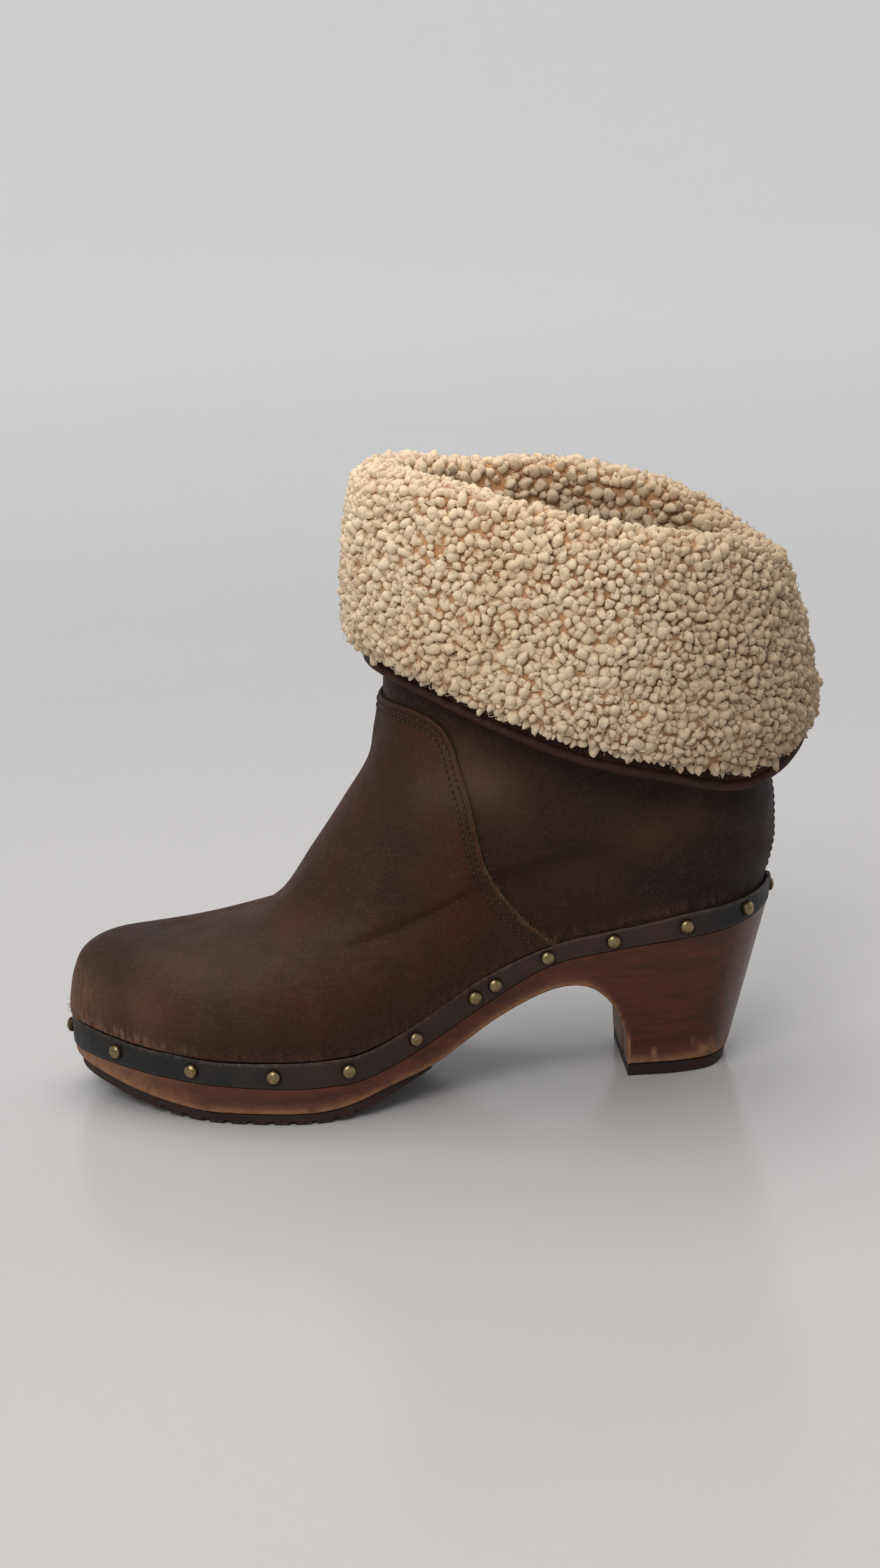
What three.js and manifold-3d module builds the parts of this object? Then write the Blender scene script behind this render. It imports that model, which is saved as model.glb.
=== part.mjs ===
// A clog boot for the left foot: a carved wooden sole with its heel, a leather upper nailed round the sole's edge, and a
// shearling collar turned down into a cuff. Lengths are in millimetres. X points to the outer side of the foot, Y to the
// heel and Z up. The origin lies on the floor under the middle of the heel.
import * as THREE from 'three';
import Module from 'manifold-3d';
import { mergeVertices } from 'three/addons/utils/BufferGeometryUtils.js';

const wasm = await Module();
wasm.setup();

// Driving sizes of the whole boot
const length = 269;
const heelBack = 34;
const ballWidth = 98;
const seatHeight = 71;
const shaftWidth = 92;
const shaftTopFront = 226;
const shaftTopBack = 194;

// Sizes of the leather and of what is nailed and glued to the sole
const leather = 2;
const overlay = 1.3;
const overlayGap = 0.7;
const gap = 0.3;
const randThickness = 1.6;
const randProud = 0.6;
const coreDrop = 1.5;
const insoleThickness = 3;
const outsoleThickness = 4;
const heelTipThickness = 5;
const outsoleInset = 0.4;
const heelTipInset = 0.3;

// Sizes of the studs, the tread notches and the cuff
const studDiameter = 5.6;
const studHeight = 1.9;
const studGap = 0.5;
const notchWidth = 2.4;
const notchHeight = 1.4;
const notchDepth = 1.8;
const notchPitch = 8;
const cuffEdgeFront = 163;
const cuffEdgeBack = 118;
const rollHeight = 5;
const rollOut = 2.6;
const hemRise = 4.5;
const foldStand = 1.2;
const wool = 10;
const woolOverFold = 8.5;
const woolInside = 8;
const lockCount = 33;
const lockSize = 5.4;

const pairs = 22;
const count = 2 * pairs;
const toeY = heelBack - length;

// The sole from toe to heel. along is a share of the length, lateral and medial of the ball width, feather (where the
// leather leaves the rand) and low (the rand's lower edge) of the seat height, and taper of the ball width at the floor.
const soleRows = [
  { along: 0, lateral: -0.02, medial: -0.02, feather: 0.437, low: 0.268, taper: 0.02 },
  { along: 0.011, lateral: 0.088, medial: -0.122, feather: 0.435, low: 0.267, taper: 0.02 },
  { along: 0.037, lateral: 0.18, medial: -0.192, feather: 0.425, low: 0.262, taper: 0.02 },
  { along: 0.074, lateral: 0.272, medial: -0.25, feather: 0.405, low: 0.25, taper: 0.02 },
  { along: 0.13, lateral: 0.374, medial: -0.3, feather: 0.378, low: 0.232, taper: 0.02 },
  { along: 0.205, lateral: 0.47, medial: -0.37, feather: 0.357, low: 0.215, taper: 0.01 },
  { along: 0.297, lateral: 0.526, medial: -0.449, feather: 0.352, low: 0.203, taper: 0.005 },
  { along: 0.353, lateral: 0.53, medial: -0.468, feather: 0.355, low: 0.203, taper: 0.005 },
  { along: 0.409, lateral: 0.503, medial: -0.455, feather: 0.375, low: 0.22, taper: 0.01 },
  { along: 0.483, lateral: 0.436, medial: -0.385, feather: 0.48, low: 0.32, taper: 0.03 },
  { along: 0.576, lateral: 0.367, medial: -0.306, feather: 0.672, low: 0.51, taper: 0.045 },
  { along: 0.669, lateral: 0.327, medial: -0.275, feather: 0.805, low: 0.69, taper: 0.065 },
  { along: 0.762, lateral: 0.316, medial: -0.286, feather: 0.872, low: 0.757, taper: 0.085 },
  { along: 0.855, lateral: 0.32, medial: -0.308, feather: 0.94, low: 0.802, taper: 0.095 },
  { along: 0.922, lateral: 0.286, medial: -0.281, feather: 0.972, low: 0.83, taper: 0.115 },
  { along: 0.967, lateral: 0.2, medial: -0.2, feather: 0.99, low: 0.862, taper: 0.15 },
  { along: 0.989, lateral: 0.115, medial: -0.115, feather: 1, low: 0.882, taper: 0.17 },
  { along: 1, lateral: 0, medial: 0, feather: 1, low: 0.89, taper: 0.173 },
];

// The upper from its nailed edge to the top of the shaft, a row for each ring. front and back say where the ring crosses
// the middle line, as shares of the length from the toe; frontRise and backRise how high, as shares of the way from the
// feather line to the shaft's top. nose, ball and rear scale the sole's outline at the ring's front, at the ball and at
// the heel, oval turns it into an oval of a width of wide shaft widths, follow keeps the ring parallel to the feather
// line and cling keeps it on the sole's own outline.
const upperRows = [
  { front: 0, frontRise: 0, back: 1, backRise: 0, nose: 1, ball: 1, rear: 1, oval: 0, wide: 1, follow: 1, cling: 1 },
  { front: 0, frontRise: 0, back: 1, backRise: 0, nose: 1, ball: 1, rear: 1, oval: 0, wide: 1, follow: 1, cling: 1 },
  { front: 0.007, frontRise: 0.044, back: 1.004, backRise: 0.058, nose: 1.02, ball: 1.02, rear: 1.04, oval: 0, wide: 1, follow: 1, cling: 0.3 },
  { front: 0.013, frontRise: 0.083, back: 1.008, backRise: 0.124, nose: 1.01, ball: 1.02, rear: 1.08, oval: 0, wide: 1, follow: 1, cling: 0 },
  { front: 0.027, frontRise: 0.12, back: 1.009, backRise: 0.18, nose: 0.98, ball: 1, rear: 1.12, oval: 0.02, wide: 1, follow: 1, cling: 0 },
  { front: 0.059, frontRise: 0.143, back: 1.009, backRise: 0.23, nose: 0.95, ball: 0.96, rear: 1.17, oval: 0.07, wide: 0.97, follow: 1, cling: 0 },
  { front: 0.115, frontRise: 0.146, back: 1.008, backRise: 0.275, nose: 0.91, ball: 0.905, rear: 1.22, oval: 0.16, wide: 0.95, follow: 0.9, cling: 0 },
  { front: 0.185, frontRise: 0.146, back: 1.005, backRise: 0.32, nose: 0.86, ball: 0.85, rear: 1.27, oval: 0.3, wide: 0.945, follow: 0.7, cling: 0 },
  { front: 0.253, frontRise: 0.165, back: 1.002, backRise: 0.362, nose: 0.86, ball: 0.87, rear: 1.3, oval: 0.5, wide: 0.945, follow: 0.55, cling: 0 },
  { front: 0.309, frontRise: 0.21, back: 0.999, backRise: 0.405, nose: 0.84, ball: 0.86, rear: 1.32, oval: 0.7, wide: 0.95, follow: 0.4, cling: 0 },
  { front: 0.357, frontRise: 0.298, back: 0.997, backRise: 0.455, nose: 0.84, ball: 0.86, rear: 1.33, oval: 0.87, wide: 0.96, follow: 0.25, cling: 0 },
  { front: 0.403, frontRise: 0.386, back: 0.996, backRise: 0.515, nose: 0.84, ball: 0.86, rear: 1.33, oval: 0.97, wide: 0.965, follow: 0.12, cling: 0 },
  { front: 0.445, frontRise: 0.474, back: 0.996, backRise: 0.585, nose: 0.84, ball: 0.86, rear: 1.33, oval: 1, wide: 0.975, follow: 0.04, cling: 0 },
  { front: 0.457, frontRise: 0.551, back: 0.996, backRise: 0.655, nose: 0.84, ball: 0.86, rear: 1.33, oval: 1, wide: 0.985, follow: 0, cling: 0 },
  { front: 0.465, frontRise: 0.62, back: 0.996, backRise: 0.719, nose: 0.84, ball: 0.86, rear: 1.33, oval: 1, wide: 0.995, follow: 0, cling: 0 },
  { front: 0.467, frontRise: 0.764, back: 0.996, backRise: 0.818, nose: 0.84, ball: 0.86, rear: 1.33, oval: 1, wide: 1, follow: 0, cling: 0 },
  { front: 0.469, frontRise: 1, back: 0.996, backRise: 1, nose: 0.84, ball: 0.86, rear: 1.33, oval: 1, wide: 1, follow: 0, cling: 0 },
];
const featherRow = 1;
const plainRow = 12;
const topRow = upperRows.length - 1;
const ovalPower = 2.25;

// The wood's underside from toe to heel breast: along is a share of the length and height of the seat height. The flat
// under the ball lies one outsole and one gap above the floor, so its height is worked out.
const undersideRows = [
  { along: -0.02, height: 0.25 },
  { along: 0.015, height: 0.205 },
  { along: 0.052, height: 0.165 },
  { along: 0.095, height: 0.12 },
  { along: 0.135, height: 0.087 },
  { along: 0.172, height: 0.067 },
  { along: 0.205, height: 0.06 },
];
const archRows = [
  { along: 0.33, height: 0.06 },
  { along: 0.365, height: 0.07 },
  { along: 0.398, height: 0.095 },
  { along: 0.435, height: 0.14 },
  { along: 0.504, height: 0.219 },
  { along: 0.549, height: 0.316 },
  { along: 0.593, height: 0.42 },
  { along: 0.638, height: 0.503 },
  { along: 0.677, height: 0.556 },
  { along: 0.706, height: 0.569 },
  { along: 0.731, height: 0.549 },
  { along: 0.751, height: 0.493 },
  { along: 0.766, height: 0.415 },
  { along: 0.777, height: 0.317 },
  { along: 0.784, height: 0.207 },
];
const breastAlong = 0.781;
const outsoleEndAlong = 0.505;

// The vamp's edge in the side view, from the middle of the instep down to the rand: along is a share of the length and
// height of the shaft's top at the front.
const vampRows = [
  { along: 0.3, height: 0.664 },
  { along: 0.485, height: 0.664 },
  { along: 0.505, height: 0.66 },
  { along: 0.524, height: 0.651 },
  { along: 0.541, height: 0.634 },
  { along: 0.553, height: 0.604 },
  { along: 0.561, height: 0.56 },
  { along: 0.57, height: 0.522 },
  { along: 0.5765, height: 0.469 },
  { along: 0.584, height: 0.421 },
  { along: 0.596, height: 0.381 },
  { along: 0.615, height: 0.346 },
  { along: 0.64, height: 0.304 },
  { along: 0.67, height: 0.269 },
  { along: 0.7, height: 0.24 },
];

// The cuff round the collar, from its front to its back: around is the share of the shaft's depth, edge runs from the
// front edge height to the lowest one, stand is the lower edge's distance from the shaft as a share of the shaft's width,
// pile is how much of the wool's thickness is left there, and outerRim and innerRim lift the shaft's top on the two sides,
// as shares of the shaft's width.
const cuffRows = [
  { around: 0, edge: 0, stand: 0.04, pile: 1, outerRim: 0, innerRim: 0 },
  { around: 0.1, edge: 0.12, stand: 0.06, pile: 1, outerRim: 0.015, innerRim: 0.01 },
  { around: 0.25, edge: 0.36, stand: 0.095, pile: 1, outerRim: 0.005, innerRim: 0.025 },
  { around: 0.45, edge: 0.64, stand: 0.11, pile: 1, outerRim: -0.015, innerRim: 0.085 },
  { around: 0.65, edge: 0.85, stand: 0.11, pile: 1, outerRim: -0.015, innerRim: 0.1 },
  { around: 0.82, edge: 1, stand: 0.115, pile: 0.9, outerRim: 0, innerRim: 0.08 },
  { around: 0.92, edge: 0.94, stand: 0.115, pile: 0.75, outerRim: -0.02, innerRim: 0.02 },
  { around: 1, edge: 0.77, stand: 0.115, pile: 0.6, outerRim: -0.05, innerRim: -0.05 },
];

// Studs in the rand, as shares of the length from the toe. The outer side has two close together at the waist.
const outerStuds = [0.068, 0.174, 0.286, 0.388, 0.482, 0.567, 0.596, 0.671, 0.764, 0.866, 0.955];
const innerStuds = [0.06, 0.158, 0.265, 0.368, 0.468, 0.572, 0.671, 0.764, 0.866, 0.955];

const mix = (from, to, share) => from + (to - from) * share;
const angleOf = (share) => Math.acos(THREE.MathUtils.clamp(1 - 2 * share, -1, 1));
const alongOf = (y) => (y - toeY) / length;
const yOf = (along) => toeY + along * length;

// A column of a table as a smooth curve. Rows are spread by place(row), and the slope at a row is its neighbours' slope.
function smooth(rows, column, place, at) {
  const places = rows.map(place);
  const last = rows.length - 1;
  const slope = (i) => {
    const before = Math.max(i - 1, 0);
    const after = Math.min(i + 1, last);
    return (rows[after][column] - rows[before][column]) / (places[after] - places[before]);
  };
  const spot = THREE.MathUtils.clamp(at, places[0], places[last]);
  const next = Math.max(1, places.findIndex((p) => p >= spot));
  const start = next - 1;
  const step = places[next] - places[start];
  const t = (spot - places[start]) / step;
  const fromStart = rows[start][column] * (2 * t ** 3 - 3 * t ** 2 + 1) + rows[next][column] * (3 * t ** 2 - 2 * t ** 3);
  return fromStart + step * (slope(start) * (t ** 3 - 2 * t ** 2 + t) + slope(next) * (t ** 3 - t ** 2));
}

const soleValue = (column, along) => smooth(soleRows, column, (row) => angleOf(row.along), angleOf(along));
const cuffValue = (column, around) => smooth(cuffRows, column, (row) => row.around, around);
const upperValue = (column, ring) => smooth(upperRows, column, (row) => upperRows.indexOf(row), ring);
const featherZ = (y) => seatHeight * soleValue('feather', alongOf(y));
const lowZ = (y) => seatHeight * soleValue('low', alongOf(y));

// Stations round the boot: from the toe along the outer side to the heel and back along the inner side. Each has its
// share of the way from front to back, and its partner across the boot has the same share.
const shareOf = (station) => (1 - Math.cos((Math.PI * station) / pairs)) / 2;
const isOuter = (station) => ((station % count) + count) % count <= pairs;

function rawOutline(station) {
  const share = shareOf(station);
  return new THREE.Vector2(ballWidth * soleValue(isOuter(station) ? 'lateral' : 'medial', share), yOf(share));
}

// The sole's outline in plan, moved inward by inset along its own normal.
function outline(station, inset) {
  const reach = 0.25;
  const forward = rawOutline(station + reach).sub(rawOutline(station - reach)).normalize();
  return rawOutline(station).add(new THREE.Vector2(-forward.y, forward.x).multiplyScalar(inset));
}

// The leather lies inside the rand, whose face stands a little proud of the wood.
const upperInset = randThickness + gap - randProud;
const coreInset = upperInset + leather + gap;

// A point of the upper's outer face. ring runs from 0 at the nailed edge to topRow at the shaft's top.
function upperPoint(station, ring) {
  const value = (column) => upperValue(column, ring);
  const share = shareOf(station);
  const seat = outline(station, upperInset);
  const frontY = yOf(value('front'));
  const backY = yOf(value('back'));
  const y = mix(mix(frontY, backY, share), seat.y, value('cling'));
  const side = isOuter(station) ? 1 : -1;
  const along = THREE.MathUtils.clamp(alongOf(y), 0, 1);
  const beside = ballWidth * soleValue(side > 0 ? 'lateral' : 'medial', along) - side * upperInset;
  const passed = beside * mix(value('ball'), value('rear'), THREE.MathUtils.smoothstep(along, 0.42, 0.75));
  const rounded = seat.x * mix(value('nose'), value('rear'), THREE.MathUtils.smoothstep(share, 0.7, 0.9));
  const middle = THREE.MathUtils.smoothstep(share, 0.03, 0.25) * (1 - THREE.MathUtils.smoothstep(share, 0.75, 0.95));
  const shaped = mix(rounded, passed, middle);
  const oval = side * (shaftWidth / 2) * value('wide') * (1 - Math.abs(2 * share - 1) ** ovalPower) ** (1 / ovalPower);
  const x = mix(mix(shaped, oval, value('oval')), seat.x, value('cling'));
  const frontZ = featherZ(toeY) + value('frontRise') * (shaftTopFront - featherZ(toeY));
  const backZ = featherZ(heelBack) + value('backRise') * (shaftTopBack - featherZ(heelBack));
  const parallel = featherZ(y) + mix(frontZ - featherZ(frontY), backZ - featherZ(backY), share);
  const z = mix(mix(frontZ, backZ, share), parallel, value('follow'));
  const rim = shaftWidth * cuffValue(isOuter(station) ? 'outerRim' : 'innerRim', share);
  const lift = rim * THREE.MathUtils.smoothstep(ring, plainRow, topRow);
  const tucked = THREE.MathUtils.clamp(featherRow - ring, 0, 1);
  return new THREE.Vector3(x, y, mix(z + lift, lowZ(y) + gap, tucked));
}

// The same point moved out along the face's normal.
function upperOffset(station, ring, out) {
  const reach = 0.3;
  const above = upperPoint(station, Math.min(ring + reach, topRow));
  const below = upperPoint(station, Math.max(ring - reach, 0));
  const round = upperPoint(station + reach, ring).sub(upperPoint(station - reach, ring));
  const normal = round.cross(above.sub(below)).normalize();
  return upperPoint(station, ring).addScaledVector(normal, out);
}

const ringOf = (place) => Array.from({ length: count }, (_, station) => place(station));

// A mesh from rings of points. With closed the last ring joins the first; otherwise both end rings are covered by strips
// between partner stations. Rings slope back as they rise, so each side's quads are split along their short diagonal.
function loft(rings, closed) {
  const size = rings[0].length;
  const positions = rings.flat().flatMap((p) => [p.x, p.y, p.z]);
  const faces = [];
  const at = (ring, i) => (ring % rings.length) * size + (((i % size) + size) % size);
  for (let ring = 0; ring < rings.length - (closed ? 0 : 1); ring += 1) {
    for (let i = 0; i < size; i += 1) {
      const [a, b, c, d] = [at(ring, i), at(ring, i + 1), at(ring + 1, i + 1), at(ring + 1, i)];
      faces.push(...(i < size / 2 ? [a, b, d, b, c, d] : [a, b, c, a, c, d]));
    }
  }
  for (let i = 0; !closed && i < size / 2; i += 1) {
    for (const [ring, flip] of [[0, true], [rings.length - 1, false]]) {
      const [a, b, c, d] = [at(ring, i), at(ring, i + 1), at(ring, -i - 1), at(ring, -i)];
      if (b !== c) faces.push(...(flip ? [a, c, b] : [a, b, c]));
      if (a !== d) faces.push(...(flip ? [a, d, c] : [a, c, d]));
    }
  }
  const geometry = new THREE.BufferGeometry();
  geometry.setAttribute('position', new THREE.Float32BufferAttribute(positions, 3));
  geometry.setIndex(faces);
  return geometry;
}

function toSolid(geometry) {
  const bare = geometry.clone();
  bare.deleteAttribute('normal');
  bare.deleteAttribute('uv');
  const joined = mergeVertices(bare, 1e-5);
  const { Manifold, Mesh } = wasm;
  const vertProperties = Float32Array.from(joined.attributes.position.array);
  return new Manifold(new Mesh({ numProp: 3, vertProperties, triVerts: Uint32Array.from(joined.index.array) }));
}

function toGeometry(solid) {
  const mesh = solid.getMesh();
  const geometry = new THREE.BufferGeometry();
  geometry.setAttribute('position', new THREE.Float32BufferAttribute(mesh.vertProperties, 3));
  geometry.setIndex(Array.from(mesh.triVerts));
  return geometry;
}

// A slab across the whole boot whose side view is the given outline of Y and Z.
function crosswise(points) {
  const span = 2 * ballWidth;
  const shape = new THREE.Shape(points.map(([y, z]) => new THREE.Vector2(y, z)));
  const geometry = new THREE.ExtrudeGeometry(shape, { depth: span, bevelEnabled: false });
  const turned = new THREE.Matrix4().makeBasis(
    new THREE.Vector3(0, 1, 0),
    new THREE.Vector3(0, 0, 1),
    new THREE.Vector3(1, 0, 0),
  );
  return toSolid(geometry.applyMatrix4(turned).translate(-span / 2, 0, 0));
}

// A hollow shell between two faces, each the upper's own face moved out, from its first ring to its last.
function shell(levels, inner, outer) {
  const outside = levels.map((ring) => ringOf((station) => upperOffset(station, ring, outer)));
  const inside = levels.toReversed().map((ring) => ringOf((station) => upperOffset(station, ring, inner)));
  return loft([...outside, ...inside], true);
}

// The upper: one hollow shell, open at the collar and underneath.
const makeUpper = () => shell(upperRows.map((_, ring) => ring), -leather, 0);

// The vamp is cut out of a larger shell round the upper by its edge in the side view.
function makeVamp() {
  const lastRing = 14;
  const above = upperRows.map((_, ring) => ring).filter((ring) => ring > featherRow && ring <= lastRing);
  const around = toSolid(shell([featherRow + 0.1, ...above], overlayGap, overlayGap + overlay));
  const edge = vampRows.map((row) => [yOf(row.along), shaftTopFront * row.height]);
  const ahead = toeY - ballWidth;
  return toGeometry(around.intersect(crosswise([[ahead, edge[0][1]], [ahead, 0], [edge.at(-1)[0], 0], ...edge.toReversed()])));
}

// The rand: a strip of leather round the sole's edge, with a rounded face.
function makeRand() {
  const inner = randThickness - randProud;
  const rings = [[inner, 0], [-randProud / 2, 0], [-randProud, 0.25], [-randProud, 0.8], [-randProud / 2, 1], [inner, 1]];
  return loft(rings.map(([inset, rise]) => ringOf((station) => {
    const point = outline(station, inset);
    const z = mix(lowZ(point.y) + gap, featherZ(point.y) - gap, rise);
    return new THREE.Vector3(point.x, point.y, z);
  })), true);
}

// The sole's outline at a height. It narrows evenly from the rand's lower edge to the floor.
function taperedPoint(station, z, inset) {
  const edge = rawOutline(station);
  const narrowing = ballWidth * soleValue('taper', shareOf(station)) * (1 - z / lowZ(edge.y));
  const point = outline(station, inset + Math.max(narrowing, 0));
  return new THREE.Vector3(point.x, point.y, z);
}

// The wood: its sides up to the rand's shelf and the core inside the upper, cut below by the side view.
function makeWood() {
  const below = -10;
  const floorRing = ringOf((station) => taperedPoint(station, 0, 0));
  const shelf = (inset) => ringOf((station) => {
    const edge = rawOutline(station);
    const point = outline(station, inset);
    return new THREE.Vector3(point.x, point.y, lowZ(edge.y));
  });
  const top = ringOf((station) => {
    const edge = rawOutline(station);
    const point = outline(station, coreInset);
    return new THREE.Vector3(point.x, point.y, featherZ(edge.y) - coreDrop);
  });
  const ground = floorRing.map((p) => p.clone().setZ(below));
  const block = toSolid(loft([ground, floorRing, shelf(0), shelf(coreInset), top], false));
  const flat = outsoleThickness + gap;
  const heelFloor = heelTipThickness + gap;
  const place = (row) => [yOf(row.along), Math.max(seatHeight * row.height, flat)];
  const far = 2 * length;
  const underside = [
    ...undersideRows.map(place),
    ...archRows.map(place),
    [yOf(breastAlong), heelFloor],
    [far, heelFloor],
    [far, far],
    [-far, far],
    [-far, seatHeight * undersideRows[0].height],
  ];
  return toGeometry(block.intersect(crosswise(underside)));
}

// The outsole: a rubber sheet under the forefoot with notches along its edge. It ends in a thin lip at the arch.
function makeOutsole() {
  const tall = seatHeight / 2;
  const block = toSolid(loft([-1, tall].map((z) => ringOf((station) => {
    const point = taperedPoint(station, 0, outsoleInset);
    return new THREE.Vector3(point.x, point.y, z);
  })), false));
  const under = [...undersideRows, ...archRows.filter((row) => row.along < outsoleEndAlong)];
  const flat = outsoleThickness + gap;
  const top = under.map((row) => [yOf(row.along), Math.max(seatHeight * row.height, flat) - gap]);
  const bottom = top.map(([y, z]) => [y, Math.max(z - outsoleThickness, 0)]);
  const lip = top.at(-1);
  bottom.splice(-1, 1, [lip[0], lip[1] - outsoleThickness / 3]);
  const sheet = block.intersect(crosswise([...bottom, ...top.toReversed()]));
  const notches = [];
  for (const side of ['lateral', 'medial']) {
    const firstNotch = yOf(0.1);
    const lastNotch = yOf(0.4);
    for (let y = firstNotch; y < lastNotch; y += notchPitch) {
      const x = ballWidth * (soleValue(side, alongOf(y)) - Math.sign(soleValue(side, alongOf(y))) * soleValue('taper', alongOf(y)));
      const floorZ = Math.max(soleBottom(y, bottom), 0);
      const box = new THREE.BoxGeometry(2 * notchDepth, notchWidth, 2 * notchHeight);
      notches.push(toSolid(box.translate(x, y, floorZ)));
    }
  }
  return toGeometry(sheet.subtract(wasm.Manifold.union(notches)));
}

// The height of a side view's line, a list of Y and Z, at one Y.
function soleBottom(y, line) {
  const next = Math.max(1, line.findIndex(([lineY]) => lineY >= y));
  const [from, to] = [line[next - 1], line[next]];
  return mix(from[1], to[1], (y - from[0]) / (to[0] - from[0]));
}

// The heel's rubber tip, cut square at the heel's breast.
function makeHeelTip() {
  const edge = (z) => ringOf((station) => taperedPoint(station, z, heelTipInset));
  const block = toSolid(loft([0, heelTipThickness].map(edge), false));
  const breast = yOf(breastAlong) + heelTipInset;
  const far = 2 * length;
  return toGeometry(block.intersect(crosswise([[breast, -1], [far, -1], [far, seatHeight], [breast, seatHeight]])));
}

// The insole lies on the wood inside the upper.
function makeInsole() {
  const inset = coreInset + gap;
  return loft([0, insoleThickness].map((rise) => ringOf((station) => {
    const edge = rawOutline(station);
    const point = outline(station, inset);
    return new THREE.Vector3(point.x, point.y, featherZ(edge.y) - coreDrop + gap + rise);
  })), false);
}

// One domed stud, its flat back against the rand's face.
function makeStud(along, side) {
  const share = THREE.MathUtils.clamp(along, 0, 1);
  const halfTurn = (angleOf(share) / Math.PI) * pairs;
  const station = side === 'medial' ? count - halfTurn : halfTurn;
  const reach = 0.5;
  const ahead = outline(station + reach, -randProud).sub(outline(station - reach, -randProud)).normalize();
  const spot = outline(station, -randProud - studGap);
  const profile = [
    [0, 0],
    [0.5, 0],
    [0.38, 0.65],
    [0, 1],
  ].map(([radius, height]) => new THREE.Vector2(radius * studDiameter, height * studHeight));
  const sides = 6;
  const dome = new THREE.LatheGeometry(profile, sides);
  const outward = new THREE.Vector3(ahead.y, -ahead.x, 0);
  dome.applyQuaternion(new THREE.Quaternion().setFromUnitVectors(new THREE.Vector3(0, 1, 0), outward));
  const z = mix(lowZ(spot.y), featherZ(spot.y), 0.5);
  return toGeometry(toSolid(dome.translate(spot.x, spot.y, z)));
}

// A point round the collar: out from the shaft's outer face in plan, at a height.
function collarPoint(station, out, z) {
  const reach = 0.25;
  const ahead = upperPoint(station + reach, topRow).sub(upperPoint(station - reach, topRow)).setZ(0).normalize();
  const edge = upperPoint(station, topRow);
  return new THREE.Vector3(edge.x + ahead.y * out, edge.y - ahead.x * out, z);
}

// Heights and distances of the cuff at a station.
function cuffAt(station) {
  const around = shareOf(station);
  const shaftZ = upperPoint(station, topRow).z;
  return {
    edgeZ: mix(cuffEdgeFront, cuffEdgeBack, cuffValue('edge', around)),
    stand: shaftWidth * cuffValue('stand', around),
    pile: wool * cuffValue('pile', around),
    shaftZ,
    foldZ: shaftZ + gap + leather,
  };
}

// The cuff's leather: from over the shaft's top edge outward and down to a rolled lower edge.
function makeCuff() {
  const section = [
    (c) => [c.stand + leather, c.edgeZ],
    (c) => [c.stand + leather + rollOut, c.edgeZ + 0.25 * rollHeight],
    (c) => [c.stand + leather + rollOut, c.edgeZ + 0.75 * rollHeight],
    (c) => [c.stand + leather, c.edgeZ + rollHeight],
    (c) => [mix(foldStand, c.stand, 0.6) + leather, mix(c.foldZ, c.edgeZ, 0.5)],
    (c) => [foldStand + leather, c.foldZ - 2 * leather],
    (c) => [foldStand, c.foldZ],
    (c) => [-leather, c.foldZ],
    (c) => [-leather, c.shaftZ + gap],
    (c) => [gap, c.shaftZ + gap],
    (c) => [foldStand, c.shaftZ - leather],
    (c) => [mix(foldStand, c.stand, 0.6), mix(c.foldZ, c.edgeZ, 0.5)],
    (c) => [c.stand, c.edgeZ + 0.5 * rollHeight],
  ];
  return loft(section.map((place) => ringOf((station) => collarPoint(station, ...place(cuffAt(station))))), true);
}

// A repeatable value between -1 and 1 from two whole numbers.
function scatter(a, b) {
  const wave = Math.sin(a * 12.9898 + b * 78.233) * 43758.5453;
  return 2 * (wave - Math.floor(wave)) - 1;
}

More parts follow.
